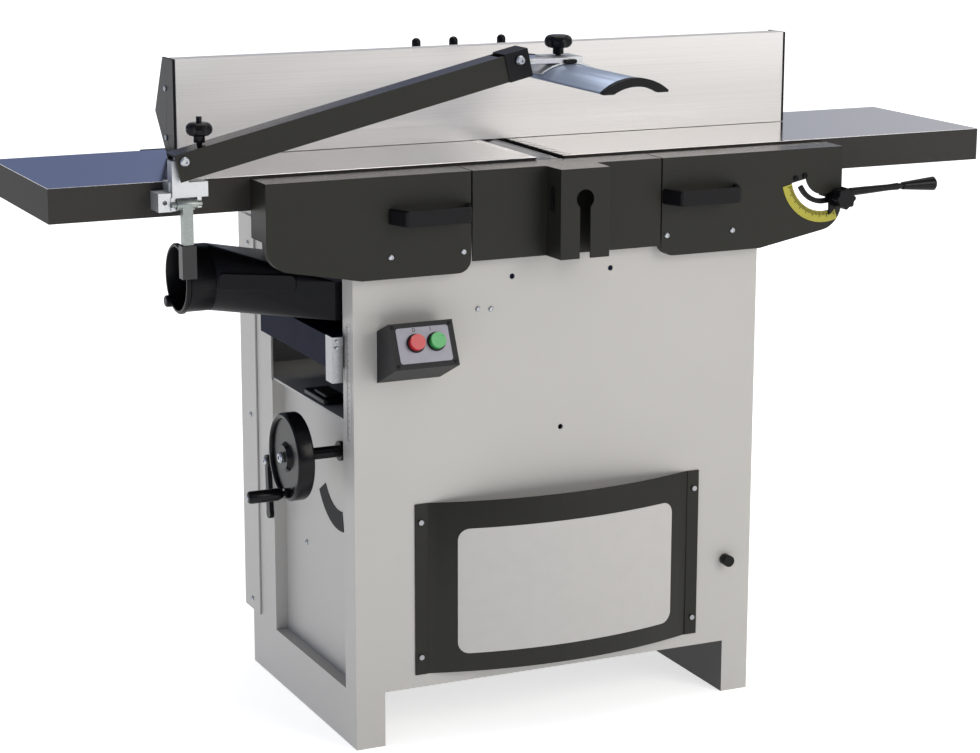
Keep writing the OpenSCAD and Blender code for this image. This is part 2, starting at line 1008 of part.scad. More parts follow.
module thicknesser_bed() {
    color(cast_iron) difference() {
        union() {
            slab([-bed_half, bed_half], [bed_front, bed_back], [bed_bottom, bed_z]);
            rod_z(bed_bottom - nut_l, bed_bottom, 0, wheel_y, nut_r);
        }
        both_sides()
            slab([bed_web, bed_half - bed_wall], [bed_front + bed_wall, bed_back - bed_wall],
                [bed_bottom - over, bed_bottom + bed_pocket]);
        rod_z(bed_bottom - nut_l - over, bed_z - screw_skin, 0, wheel_y, screw_r + run);
    }
}

module bed_pointer() {
    x = -bed_half - pointer_t;
    y = bed_front - pointer_out;
    z = [bed_z - pointer_drop, bed_z + pointer_up];
    color(bright) {
        slab([x, -bed_half], [y, bed_front + pointer_in], z);
        slab([x, x + pointer_w], [y, y + pointer_t], z);
        slab([x, x + pointer_w], [y - pointer_block_t, y], [z[1] - pointer_block_h, z[1]]);
    }
}

module lift_column() {
    color(bright) rod_z(bed_bottom - column_l, bed_bottom, 0, bed_y, column_r);
}

module column_sleeve() {
    color(cast_iron) difference() {
        union() {
            rod_z(sleeve_bottom, deck_z + sleeve_flange_t, 0, bed_y, sleeve_r);
            rod_z(deck_z, deck_z + sleeve_flange_t, 0, bed_y, sleeve_r + sleeve_flange);
            slab([-bracket_x - bracket_t / 2, 0], [bed_y - sleeve_r + sleeve_t, bed_y],
                [sleeve_bottom, footstep_z]);
            slab([-bracket_x - bracket_t / 2, bracket_t / 2 - bracket_x], [wheel_y - bracket_half, bed_y],
                [sleeve_bottom, wheel_z + bracket_half]);
            slab([-footstep_half, footstep_half], [wheel_y - bracket_half, bed_y],
                [sleeve_bottom, footstep_z]);
        }
        rod_z(sleeve_bottom - over, deck_z + sleeve_flange_t + over, 0, bed_y, column_r + run);
        rod_z(sleeve_bottom - over, footstep_z + over, 0, wheel_y, screw_r + run);
        rod_x(-bracket_x - bracket_t, bracket_t - bracket_x, wheel_y, wheel_z, shaft_r + run);
        rod_z(deck_z, deck_z + sleeve_flange_t + over, 0, wheel_y, nut_r + 2 * over);
    }
}

module lead_screw() {
    color(bright) {
        rod_z(sleeve_bottom, screw_top, 0, wheel_y, screw_r);
        translate([0, wheel_y, wheel_z + gear_in])
            cylinder(h = gear_out - gear_in, r1 = gear_in - gear_gap, r2 = gear_out - gear_gap);
    }
}

module handwheel_shaft() {
    color(bright) {
        rod_x(wheel_x - hub_l / 2, -gear_in, wheel_y, wheel_z, shaft_r);
        translate([-gear_out, wheel_y, wheel_z]) rotate([0, 90, 0])
            cylinder(h = gear_out - gear_in, r1 = gear_out - gear_gap, r2 = gear_in - gear_gap);
    }
}

// Half section of the dished handwheel: distance from the shaft, and place along it
function wheel_outline() = concat(
    [[0, -hub_l / 2], [hub_r, -hub_l / 2], [hub_r + hub_flare, web_back], [wheel_r - rim_band, web_back]],
    arc(wheel_r - rim_band + rim_round, rim_round - rim_half, rim_round, 180, 270, 4),
    arc(wheel_r - rim_round, rim_round - rim_half, rim_round, 270, 360, 4),
    arc(wheel_r - rim_round, rim_half - rim_round, rim_round, 0, 90, 4),
    arc(wheel_r - rim_band + rim_round, rim_half - rim_round, rim_round, 90, 180, 4),
    [[wheel_r - rim_band, web_back + web_t], [hub_r, web_back + web_t], [hub_r, hub_l / 2],
        [0, hub_l / 2]]
);

module handwheel() {
    low = wheel_z - crank_at;
    color(black) difference() {
        union() {
            translate([wheel_x, wheel_y, wheel_z]) rotate([0, 90, 0])
                rotate_extrude() polygon(wheel_outline());
            rod_x(wheel_x - rim_half, wheel_x + web_back + web_t, wheel_y, low, crank_boss_r);
            rod_x(wheel_x - rim_half - crank_gap - crank_l + crank_skin + over, wheel_x, wheel_y, low,
                crank_pin_r);
        }
        rod_x(wheel_x - hub_l, wheel_x + hub_l, wheel_y, wheel_z, shaft_r);
    }
}

module crank_handle() {
    x1 = wheel_x - rim_half - crank_gap;
    x0 = x1 - crank_l;
    color(black) difference() {
        translate([x0, wheel_y, wheel_z - crank_at]) rotate([0, 90, 0]) rotate_extrude()
            polygon(concat(
                [[0, 0]], arc(crank_r - crank_round, crank_round, crank_round, 270, 360, 4),
                [[crank_r, crank_l - 2 * crank_round], [crank_r * crank_neck_share, crank_l],
                    [0, crank_l]]
            ));
        rod_x(x0 + crank_skin, x1 + over, wheel_y, wheel_z - crank_at, crank_pin_r + run);
    }
}

module shaft_flange() {
    color(black) difference() {
        rod_x(-panel_x - flange_t, -panel_x, wheel_y, wheel_z, flange_r);
        rod_x(-panel_x - flange_t - over, -panel_x + over, wheel_y, wheel_z, shaft_r + run);
    }
}

module feed_lever() {
    x = [-half_w - clear - lever_t, -half_w - clear];
    foot_y = lever_y - lever_lean;
    color(black) {
        rod_x(x[0], x[1], lever_y, lever_z, lever_hub_r);
        rod_x(x[0], -half_w + sheet * 4, lever_y, lever_z, lever_pin_r);
        along_x(x[0], x[1]) polygon([
            [lever_y - lever_neck / 2, lever_z], [lever_y + lever_neck / 2, lever_z],
            [foot_y + lever_w / 2, lever_z - lever_l], [foot_y - lever_w / 2, lever_z - lever_l]
        ]);
        rod_x(x[0], x[1], foot_y, lever_z - lever_l, lever_end_r);
    }
}

// Dust hood

// Funnel from the round spigot to the flat mouth, drawn in by t
module hood_funnel(t, reach) {
    hull() {
        rod_x(spigot_x + spigot_l - reach, spigot_x + spigot_l + over, mid_y, spigot_z, spigot_r - t);
        slab([hood_x - over, hood_x + reach], [mid_y - hood_half + t, mid_y + hood_half - t],
            [hood_low + t, hood_mid - t]);
    }
}

// Side outline of the chute inside the machine, drawn in by t
function chute_outline(t, reach, top) = [
    [hood_x - reach, hood_low + t], [hood_end - t, hood_low + t], [hood_end - t, top],
    [t - hood_end, top], [t / 2 - hood_end - hood_rise, hood_mid - t], [hood_x - reach, hood_mid - t]
];

module dust_hood() {
    color(black) {
        difference() {
            union() {
                hood_funnel(0, 0);
                along_y(mid_y - hood_half, mid_y + hood_half) polygon(chute_outline(0, 0, hood_top));
                slab([-hood_tab_t, hood_tab_t], [front_in, mid_y - hood_half],
                    [hood_mid - hood_tab, hood_mid]);
                slab([-hood_tab_t, hood_tab_t], [mid_y + hood_half, rear_in],
                    [hood_mid - hood_tab, hood_mid]);
            }
            hood_funnel(hood_t, over);
            along_y(mid_y - hood_half + hood_t, mid_y + hood_half - hood_t)
                polygon(chute_outline(hood_t, over, hood_top + over));
        }
        difference() {
            rod_x(spigot_x, spigot_x + spigot_l, mid_y, spigot_z, spigot_r);
            rod_x(spigot_x - over, spigot_x + spigot_l + over, mid_y, spigot_z, spigot_r - hood_t);
        }
    }
}

// Covers

// Face outline of the right side cover, drawn in by t
function cover_outline(t) = concat(
    [[cover_in + t, cover_top - t], [cover_l - t, cover_top - t], [cover_l - t, cover_z + chamfer_h * 2]],
    arc(cover_l - corner_r * 2, cover_z + chamfer_h * 2, corner_r * 2 - t, 0, -76),
    [[cover_l - chamfer_x, cover_z + t]],
    arc(cover_in + corner_r, cover_z + corner_r, corner_r - t, 270, 180)
);

// Side cover on the right; back is where its top flange ends
module side_cover(back) {
    along_y(cover_y, cover_y + top_t) polygon(cover_outline(0));
    along_y(cover_y, cover_y + band_d) difference() {
        polygon(cover_outline(0));
        polygon(cover_outline(top_t));
    }
    slab([cover_in, cover_l], [cover_y, back], [cover_top - top_t, cover_top]);
    slab([cover_l - top_t, cover_l], [cover_y, back], [cover_top - skirt_z, cover_top]);
}

module left_cover() {
    color(charcoal) mirror([1, 0, 0]) side_cover(table_y);
}

// Ring sector round the lever's axle
module sector(r_in, r_out, from, to) {
    polygon(concat(arc(scale_x, scale_z, r_out, from, to, 12),
        arc(scale_x, scale_z, r_in, to, from, 12)));
}

module right_cover() {
    color(charcoal) {
        difference() {
            side_cover(table_y - over);
            along_y(cover_y - over, cover_y + top_t + over)
                sector(window_in, window_out, window_from, window_to);
        }
        rod_y(cover_y, cover_y + top_t + clear + lever_plate_t, scale_x, scale_z, axle_r);
    }
}

module centre_cover() {
    boss_y = cover_y - boss_d;
    half = boss_w / 2;
    t = top_t;
    key_z = cutter_z - key_drop;
    color(charcoal) {
        slab([-cover_half, cover_half], [cover_y, cover_y + t], [boss_bottom, cover_top]);
        slab([-cover_half, cover_half], [cover_y, table_y - over], [cover_top - t, cover_top]);
        translate([boss_x, 0, 0]) difference() {
            translate([0, 0, boss_bottom]) linear_extrude(height = cover_top - boss_bottom)
                polygon([
                    [-half - boss_flare, cover_y], [-half, boss_y], [half, boss_y],
                    [half + boss_flare, cover_y]
                ]);
            translate([0, 0, boss_bottom - over])
                linear_extrude(height = cover_top - boss_bottom - t + over)
                polygon([
                    [t - half - boss_flare, cover_y + over], [t - half, boss_y + t],
                    [half - t, boss_y + t], [half + boss_flare - t, cover_y + over]
                ]);
            rod_y(boss_y - over, boss_y + t + over, 0, key_z, key_r);
            slab([-slot_half, slot_half], [boss_y - over, boss_y + t + over],
                [boss_bottom - over, key_z]);
        }
        both_sides()
            slab([standoff_x - standoff_w / 2, standoff_x + standoff_w / 2],
                [cover_y + t, front_y], [standoff_z - standoff_w / 2, standoff_z + standoff_w / 2]);
    }
}

// Strap handle whose middle is at x
module handle(x) {
    half = handle_w / 2;
    low = cover_y - handle_d;
    color(black) translate([x, 0, handle_z]) linear_extrude(height = handle_h) {
        polygon([
            [-half - handle_splay - handle_foot, cover_y], [-half - handle_splay, cover_y - handle_t],
            [-half, low], [half, low], [half + handle_splay, cover_y - handle_t],
            [half + handle_splay + handle_foot, cover_y], [half + handle_splay - handle_t, cover_y],
            [half - handle_t, low + handle_t], [handle_t - half, low + handle_t],
            [handle_t - half - handle_splay, cover_y]
        ]);
    }
}

module left_handle() {
    handle(-handle_x);
}

module right_handle() {
    handle(handle_x);
}

// Tables

// Right-hand table casting
module table_body() {
    inner = [lip_gap, table_l - rim_t];
    pitch = table_w / lip_slots;
    difference() {
        slab([lip_gap, table_l], [table_y, table_back], [rim_z, table_z]);
        slab([rib_x, table_l - rim_t], [table_y + rim_t, table_back - rim_t], [rim_z - over, under_z]);
        slab([lip_gap - over, rib_x - rim_t], [table_y + rim_t, table_back - rim_t],
            [rim_z - over, under_z]);
        slab([lip_gap - over, rim_notch], [table_back - rim_t - over, table_back + over],
            [rim_z - over, rim_z + rim_notch_h]);
        rod_y(table_y - over, table_back + over, 0, cutter_z, cut_r + lip_clear);
        for (i = [0 : lip_slots - 1])
            slab([inner[0] - over, inner[0] + slot_l],
                [table_y + (i + 0.5) * pitch - slot_w / 2, table_y + (i + 0.5) * pitch + slot_w / 2],
                [under_z - over, table_z + over]);
    }
    for (i = [1, 2, 3])
        slab([rib_x + (table_l - rib_x) * i / 4, rib_x + (table_l - rib_x) * i / 4 + rim_t],
            [table_y + rim_t / 2, table_back - rim_t / 2], [rim_z, under_z + plate_t / 2]);
}

// Hinge eye on the hinge axis, from x0 to x0 + lug_t
module hinge_eye(x0) {
    rod_x(x0, x0 + lug_t, hinge_y, hinge_z, hinge_eye_r);
}

module hinge_bore(x0) {
    rod_x(x0 - over, x0 + lug_t + over, hinge_y, hinge_z, hinge_pin_r + run);
}

module left_table() {
    color(cast_iron) mirror([1, 0, 0]) difference() {
        union() {
            table_body();
            for (x = lug_xs) {
                slab([x, x + lug_t], [table_back - lug_l, table_back],
                    [rim_z - lug_down, rim_z + lug_up]);
                along_x(x, x + lug_t) polygon([
                    [table_back - lug_rise, rim_z + lug_rise], [hinge_y, hinge_z + hinge_eye_r],
                    [hinge_y, hinge_z - hinge_eye_r], [table_back - lug_rise, rim_z - lug_down]
                ]);
                hinge_eye(x);
            }
        }
        for (x = lug_xs)
            hinge_bore(x);
    }
}

module right_carrier() {
    low = carrier_top - carrier_h;
    color(cast_iron) {
        difference() {
            union() {
                for (x = lug_xs) {
                    slab([x, x + lug_t], [cover_y + top_t, hinge_y], [low, carrier_top]);
                    hinge_eye(x);
                }
                slab([cover_in + corner_r, scale_x - window_out - corner_r / 2],
                    [cover_y + top_t, cover_y + top_t + carrier_rail_d], [low, carrier_top]);
            }
            for (x = lug_xs)
                hinge_bore(x);
        }
        for (x = lug_xs)
            rod_z(carrier_top - over, post_z, x + lug_t / 2, post_y, post_r);
    }
}

module right_table() {
    color(cast_iron) difference() {
        union() {
            table_body();
            for (x = lug_xs)
                rod_z(rim_z + boss_foot, under_z + over, x + lug_t / 2, post_y, boss_r);
        }
        for (x = lug_xs)
            rod_z(rim_z - over, under_z - over / 2, x + lug_t / 2, post_y, post_r + run);
    }
}

// Height lever of the right table: plate behind the cover, stud through the window, hub, rod and grip
module height_lever() {
    behind = [cover_y + top_t + clear, cover_y + top_t + clear + lever_plate_t];
    front = [cover_y - clear - lever_plate_t, cover_y - clear];
    stud_x = scale_x + lever_stud_at * cos(lever_stud_angle);
    stud_z = scale_z + lever_stud_at * sin(lever_stud_angle);
    hub_x = scale_x + lever_hub_x;
    hub_z = scale_z - lever_hub_drop;
    rod_y0 = front[0] - lever_knob_l / 2;
    color(black) {
        difference() {
            union() {
                rod_y(behind[0], behind[1], scale_x, scale_z, axle_eye_r);
                along_y(behind[0], behind[1]) {
                    sector(strip_in, strip_out, strip_from, strip_to);
                    translate([scale_x, scale_z]) rotate(lever_stud_angle)
                        translate([0, -lever_arm_half]) square([lever_stud_at, 2 * lever_arm_half]);
                }
            }
            rod_y(behind[0] - over, behind[1] + over, scale_x, scale_z, axle_r + run);
        }
        rod_y(front[0], behind[1], stud_x, stud_z, lever_stud_r);
        along_y(front[0], front[1]) polygon([
            [stud_x - lever_arm_half, stud_z + lever_arm_half], [hub_x, hub_z + lever_knob_r],
            [hub_x + lever_arm_half, hub_z - lever_arm_half],
            [scale_x + lever_pointer_x, scale_z - lever_pointer_drop]
        ]);
        rod_y(front[0] - lever_knob_l, front[1], hub_x, hub_z, lever_knob_r);
        translate([hub_x, rod_y0, hub_z + rod_root])
            rotate([0, 90 - atan2(rod_rise - rod_root, rod_l), 0])
                cylinder(h = norm([rod_l, rod_rise - rod_root]) + grip_tip_r, r = rod_r);
        translate([hub_x + rod_l, rod_y0, hub_z + rod_rise]) rotate([0, 90, 0]) {
            cylinder(h = grip_l - grip_round, r1 = grip_tip_r, r2 = grip_r);
            translate([0, 0, grip_l - grip_round])
                cylinder(h = grip_round, r1 = grip_r, r2 = grip_r - grip_round);
        }
    }
}

// Fence

// Side outline of the end caps, from the fence face at the front to the point at the back
function cap_outline() = [
    [fence_y, table_z + fence_lift], [fence_y, table_z + fence_h],
    [fence_y + cap_top_w, table_z + fence_h - fence_lift], [fence_y + cap_rear_w, table_z + cap_rear_h],
    [fence_y + cap_low_w, table_z + cap_low_h]
];

module fence_plate() {
    half = fence_l / 2 - cap_t;
    z = [table_z + fence_lift, table_z + fence_h];
    third = (fence_h - fence_lift) / 3;
    color(pale_alloy) difference() {
        slab([fence_x - half, fence_x + half], [fence_y, fence_back], z);
        for (i = [0, 1, 2])
            slab([fence_x - half - over, fence_x + half + over],
                [fence_y + fence_wall, fence_back - fence_wall],
                [z[0] + third * i + fence_rib, z[0] + third * (i + 1) - fence_rib]);
    }
}

module fence_end_caps() {
    half = fence_l / 2;
    color(black) translate([fence_x, 0, 0]) both_sides() difference() {
        along_x(half - cap_t, half) polygon(cap_outline());
        for (up = [cap_hole_low, cap_hole_high])
            rod_x(half - cap_t - over, half + over, fence_y + cap_hole_in, table_z + up, cap_hole_r);
    }
}

// Web of the tilt bracket, with the pivot hole and the clamp's pin hole
module tilt_web(x, pivot) {
    difference() {
        union() {
            along_x(x, x + web_w) polygon([
                [fence_back, plate_low], [fence_back, plate_high],
                [clamp_y + clamp_r, plate_high - clamp_r], [clamp_y + clamp_r, clamp_z - clamp_r]
            ]);
            if (pivot)
                along_x(x, x + web_w) polygon([
                    [fence_back, pivot_z - pivot_boss], [fence_back, plate_low + over],
                    [clamp_y, clamp_z], [pivot_y + pivot_boss, pivot_z - pivot_boss / 2],
                    [pivot_y, pivot_z - pivot_boss]
                ]);
        }
        rod_x(x - over, x + web_w + over, pivot_y, pivot_z, pivot_r + run);
        rod_x(x - over, x + web_w + over, clamp_y, clamp_z, clamp_pin_r + run);
    }
}

module fence_bracket() {
    color(cast_iron) {
        slab([left_web_x, right_web_x + web_w], [fence_back, fence_back + bracket_plate_t],
            [plate_low, plate_high]);
        tilt_web(left_web_x, true);
        tilt_web(mid_web_x, false);
        tilt_web(right_web_x, true);
    }
}

module fence_rail() {
    color(cast_iron)
        slab([rail_left, rail_right], [table_back, table_back + rail_t], [rail_z - rail_h, rail_z]);
}

module fence_carriage() {
    back = fence_back + carriage_back;
    color(cast_iron) {
        along_x(bar_x - carriage_w / 2, bar_x + carriage_w / 2) polygon([
            [fence_back + 2 * over, carriage_low], [back, carriage_low], [back, carriage_top],
            [pivot_y + carriage_top - pivot_z, carriage_top], [pivot_y, pivot_z],
            [fence_back + 2 * over, pivot_z]
        ]);
        slab([bar_x - bar_w / 2, bar_x + bar_w / 2], [bar_front, bar_front + bar_l],
            [rail_z + clear, rail_z + bar_t]);
        rod_x(left_web_x - over, right_web_x + web_w + over, pivot_y, pivot_z, pivot_r);
        rod_x(bar_x - carriage_w / 2, bar_x + carriage_w / 2, pivot_y, pivot_z, pivot_boss);
    }
}

// Clamping lever beside the web that starts at x
module clamp_lever(x) {
    x0 = x + web_w + clear;
    color(black) {
        rod_x(x0, x0 + clamp_l, clamp_y, clamp_z, clamp_r);
        rod_x(x - clamp_l / 4, x0, clamp_y, clamp_z, clamp_pin_r);
        rod_z(clamp_z, clamp_z + clamp_arm - clamp_arm_r, x0 + clamp_l / 2, clamp_y, clamp_arm_r);
        translate([x0 + clamp_l / 2, clamp_y, clamp_z + clamp_arm - clamp_arm_r]) sphere(r = clamp_arm_r);
    }
}

module left_tilt_lever() {
    clamp_lever(left_web_x);
}

module length_lever() {
    clamp_lever(mid_web_x);
}

module right_tilt_lever() {
    clamp_lever(right_web_x);
}

// Guard

module guard_bracket() {
    upper = [clamp_pivot_z + lever_hub + ear_gap, bracket_top];
    front = arm_mid - plate_half;
    low = clamp_pivot_z - lever_hub - ear_gap;
    left_ear = lever_left - ear_t - ear_gap;
    color(pale_alloy) difference() {
        union() {
            slab([left_ear, lever_right], [arm_mid, table_y], [bracket_low, bracket_top]);
            slab([-arm_x - post_half, bracket_right], [front, table_y], upper);
            slab([-arm_x - post_left, post_half - arm_x], [front, arm_mid + plate_half],
                [upper[0], arm_pivot_z]);
            rod_y(front, arm_mid + plate_half, -arm_x, arm_pivot_z, post_half);
            slab([bracket_left, bracket_left + socket_w], [arm_front + socket_front, table_y],
                [bracket_low, bracket_low + socket_up]);
            slab([left_ear, left_ear + ear_t], [front, arm_mid + over], [low, upper[0] + over]);
            slab([lever_right + ear_gap, lever_right + ear_gap + ear_t], [front, arm_mid],
                [clamp_pivot_z - nub_drop, upper[0] + over]);
        }
        rod_y(arm_front - over, arm_back + over, -arm_x, arm_pivot_z, arm_pin_r + run);
        rod_y(arm_front - over, arm_mid + over, bracket_left + socket_w / 2, bracket_low + socket_up / 2,
            socket_r);
        rod_x(left_ear - over, bracket_right, clamp_pivot_y, clamp_pivot_z, lever_pin + run);
    }
}

module guard_clamp_lever() {
    mid = (lever_left + lever_right) / 2;
    y = [clamp_pivot_y - bar_flat_t / 2, clamp_pivot_y + bar_flat_t / 2];
    low = clamp_pivot_z - bar_drop;
    color(black) {
        rod_x(lever_left, lever_right, clamp_pivot_y, clamp_pivot_z, lever_hub - over);
        rod_x(lever_left - ear_t - ear_gap, lever_right + ear_t + ear_gap, clamp_pivot_y,
            clamp_pivot_z, lever_pin);
        slab([mid - bar_half, mid + bar_half], y, [low, clamp_pivot_z]);
        slab([mid - grip_half, mid + grip_half], [clamp_pivot_y - grip_d / 2, clamp_pivot_y + grip_d / 2],
            [low - grip_h, low]);
    }
}

// Places along the sloping arm, from its pivot
module on_arm() {
    translate([-arm_x, 0, arm_pivot_z]) rotate([0, -arm_tilt, 0]) children();
}

module guard_arm() {
    inner = [arm_front + arm_wall, arm_back - arm_wall];
    nose = arm_l + arm_nose;
    color(charcoal) {
        difference() {
            on_arm() difference() {
                slab([-arm_tail, nose], [arm_front, arm_back], [-arm_down, arm_up]);
                slab([-arm_tail - over, nose + over], inner, [-arm_down - over, arm_up - arm_wall]);
                slab([arm_l - arm_open, nose + over], inner, [-arm_down - over, arm_up + over]);
            }
            rod_z(knob_stem_low, knob_z, knob_x, arm_mid, knob_stem_r + run);
        }
        rod_y(arm_front - arm_wall, arm_back, -arm_x, arm_pivot_z, arm_pin_r);
        rod_y(arm_front - arm_wall, arm_back, head_pivot_x, head_pivot_z, arm_pin_r);
    }
}

// Lobed knob of moulded plastic, r wide, its underside at the origin
module knob(r, stem_low, stem_high) {
    lobes = 5;
    round_r = knob_h / 2;
    translate([0, 0, knob_neck_h]) difference() {
        rotate_extrude() polygon(concat(
            [[0, 0]], arc(r - round_r, round_r, round_r, 270, 450), [[0, knob_h]]));
        for (i = [0 : lobes - 1])
            rotate([0, 0, i * 360 / lobes]) translate([r * lobe_at_share, 0, -over])
                cylinder(h = knob_h + 2 * over, r = r * lobe_r_share);
    }
    cylinder(h = knob_neck_h + over, r = knob_neck_r);
    translate([0, 0, stem_low]) cylinder(h = stem_high - stem_low, r = knob_stem_r);
}

module guard_height_knob() {
    base = knob_z - knob_neck_h - knob_h / 2;
    color(black) translate([knob_x, arm_mid, base])
        knob(knob_r, knob_stem_low + over - base, knob_neck_h + knob_h + stud_h);
}

// Arched saddle over the beam, plate for the lock knob, and tongue to the arm's pivot
module guard_head() {
    z = beam_z + clear;
    top = z + saddle_t + head_plate_t;
    right = beam_x + head_plate_half;
    color(pale_alloy) difference() {
        union() {
            rod_y(arm_mid - tongue_half, arm_mid + tongue_half, head_pivot_x, head_pivot_z, tongue_h);
            slab([head_pivot_x, beam_x], [arm_mid - tongue_half, arm_mid + tongue_half],
                [z + saddle_t / 2, top]);
            slab([beam_x - head_plate_half, right], [head_plate_front, head_plate_back],
                [z + saddle_t / 2, top]);
            along_y(head_plate_front - saddle_out, head_plate_back)
                arch(beam_r + clear, beam_r + clear + saddle_t, beam_w / 2 - saddle_in);
        }
        rod_y(arm_mid - arm_w, arm_mid + arm_w, head_pivot_x, head_pivot_z, arm_pin_r + run);
        rod_z(z - over, top + over, beam_x, lock_y, knob_stem_r + run);
    }
}

module guard_lock_knob() {
    base = lock_knob_z - knob_neck_h - knob_h / 2;
    color(black) translate([beam_x, lock_y, base])
        knob(lock_knob_r, beam_z + 2 * clear - base, knob_neck_h + knob_h);
}

beam_r = (beam_w * beam_w / 4 + beam_rise * beam_rise) / (2 * beam_rise);

// Arched section of the beam between two radii
module arch(r_in, r_out, half) {
    intersection() {
        translate([beam_x, beam_z - beam_r]) difference() {
            circle(r = r_out);
            circle(r = r_in);
        }
        translate([beam_x - half, beam_z - beam_rise - cap_more]) square([2 * half, beam_rise * 2]);
    }
}

beam_front = cover_y - beam_out;

module guard_beam() {
    color(pale_alloy) along_y(beam_front + cap_len, beam_front + beam_l - cap_len)
        arch(beam_r - beam_t, beam_r, beam_w / 2);
}

module beam_end_caps() {
    color(black) for (y = [beam_front, beam_front + beam_l - cap_len])
        along_y(y, y + cap_len)
            arch(beam_r - beam_t - cap_deep, beam_r + cap_more / 2, beam_w / 2 + cap_more / 2);
}

// Hinge brackets with their pins, and the visible screw heads
module frame_fasteners() {
    half = access_w / 2 - screw_in;
    color(bright) {
        both_sides() for (x = lug_xs) {
            rod_x(x - lug_t - ear_gap, x + lug_t, hinge_y, hinge_z, hinge_pin_r);
            difference() {
                union() {
                    hinge_eye(x - lug_t - ear_gap);
                    along_x(x - lug_t - ear_gap, x - ear_gap) polygon([
                        [back_y - sheet, hinge_foot_z], [back_y - sheet, hinge_top_z],
                        [hinge_y, hinge_z + hinge_eye_r], [hinge_y - hinge_eye_r, hinge_z]
                    ]);
                }
                rod_x(x - lug_t - 2 * ear_gap, x, hinge_y, hinge_z, hinge_pin_r);
            }
        }
        both_sides() for (z = [access_z + screw_up, access_z + access_h - screw_up])
            rod_y(front_y - access_t - screw_head_h, front_y - access_t, half, z, screw_head_r);
    }
}

front_wall();
rear_wall();
left_side_panel();
right_side_panel();
deck_plate();
drive_cover();
access_cover();
switch_box();
stop_button();
start_button();
panel_knob();
front_housing();
rear_housing();
bearings();
cutter_block();
cutter_knives();
cutter_pulley();
motor();
motor_pulley();
drive_belt();
infeed_roller();
outfeed_roller();
kickback_fingers();
thicknesser_bed();
bed_pointer();
lift_column();
column_sleeve();
lead_screw();
handwheel_shaft();
handwheel();
crank_handle();
shaft_flange();
feed_lever();
dust_hood();
centre_cover();
frame_fasteners();
left_table();
left_cover();
left_handle();
fence_rail();
guard_bracket();
guard_clamp_lever();
guard_arm();
guard_height_knob();
guard_head();
guard_lock_knob();
guard_beam();
beam_end_caps();
right_carrier();
right_table();
right_cover();
right_handle();
height_lever();
fence_carriage();
fence_plate();
fence_end_caps();
fence_bracket();
left_tilt_lever();
length_lever();
right_tilt_lever();
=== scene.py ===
# %% [markdown]
# A planer thicknesser, dressed for the studio
#
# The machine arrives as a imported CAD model: plain solids that already stand in the right place and
# already move. This script keeps those solids, gives every one the finish of the real machine, and
# adds the small pieces that a solid modeller leaves out: screws, scales, plates and ribs.

# %% Load the machine
import math

import bmesh
import bpy
from mathutils import Matrix, Vector


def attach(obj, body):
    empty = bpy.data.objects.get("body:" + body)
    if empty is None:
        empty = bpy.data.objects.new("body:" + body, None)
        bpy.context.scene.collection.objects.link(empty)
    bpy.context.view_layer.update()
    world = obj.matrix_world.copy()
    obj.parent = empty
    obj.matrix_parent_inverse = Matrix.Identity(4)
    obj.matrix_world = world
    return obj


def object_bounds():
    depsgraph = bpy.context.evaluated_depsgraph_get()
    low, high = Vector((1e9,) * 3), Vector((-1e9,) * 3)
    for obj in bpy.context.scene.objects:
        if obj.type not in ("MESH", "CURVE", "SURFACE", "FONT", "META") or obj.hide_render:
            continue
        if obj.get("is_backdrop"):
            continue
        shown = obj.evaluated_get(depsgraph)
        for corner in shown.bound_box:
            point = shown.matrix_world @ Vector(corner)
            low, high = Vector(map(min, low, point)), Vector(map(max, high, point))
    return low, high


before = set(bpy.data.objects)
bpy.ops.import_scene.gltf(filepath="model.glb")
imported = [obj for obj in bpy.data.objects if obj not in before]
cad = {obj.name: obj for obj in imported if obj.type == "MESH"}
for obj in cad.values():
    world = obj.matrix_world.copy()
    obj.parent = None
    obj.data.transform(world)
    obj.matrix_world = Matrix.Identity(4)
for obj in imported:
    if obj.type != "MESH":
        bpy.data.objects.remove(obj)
cad_box = [list(map(float, corner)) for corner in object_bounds()]
scene = bpy.context.scene

# %% [markdown]
# The camera
#
# A photograph of a machine with long straight edges gives its own camera away: the edges of the
# tables and of the cabinet meet at vanishing points. The place, the turn and the lens below come from
# a fit of the tables, fence and cabinet to their pixels, so that the render can be laid over the
# photograph.

# %% Camera
eye = Vector((-1.6962, -3.5817, 1.4249))
look_down, look_right, roll = 0.228, 0.434, 0.002
lens_data = bpy.data.cameras.new("studio_camera")
lens_data.sensor_width = 36.0
lens_data.lens = 95.56
lens_data.clip_end = 100.0
camera = bpy.data.objects.new("studio_camera", lens_data)
camera.matrix_world = (Matrix.Translation(eye) @ Matrix.Rotation(-look_right, 4, "Z")
                       @ Matrix.Rotation(math.pi / 2 - look_down, 4, "X")
                       @ Matrix.Rotation(roll, 4, "Z"))
scene.collection.objects.link(camera)
scene.camera = camera
print("camera at", tuple(round(v, 3) for v in eye))

# %% [markdown]
# Colours and nodes
#
# Every finish is a small tree of nodes that is worked out from the place on the piece, never from a
# picture, so it fits a piece of any size. A few helpers keep the trees short: one turns a colour code
# into linear light, one adds a node, and the others name what nearly every finish does.

# %% Colours and nodes
def srgb(code):
    """Linear colour of an sRGB hex code."""
    parts = [int(code[i:i + 2], 16) / 255 for i in (1, 3, 5)]
    linear = [c / 12.92 if c <= 0.04045 else ((c + 0.055) / 1.055) ** 2.4 for c in parts]
    return (*linear, 1.0)


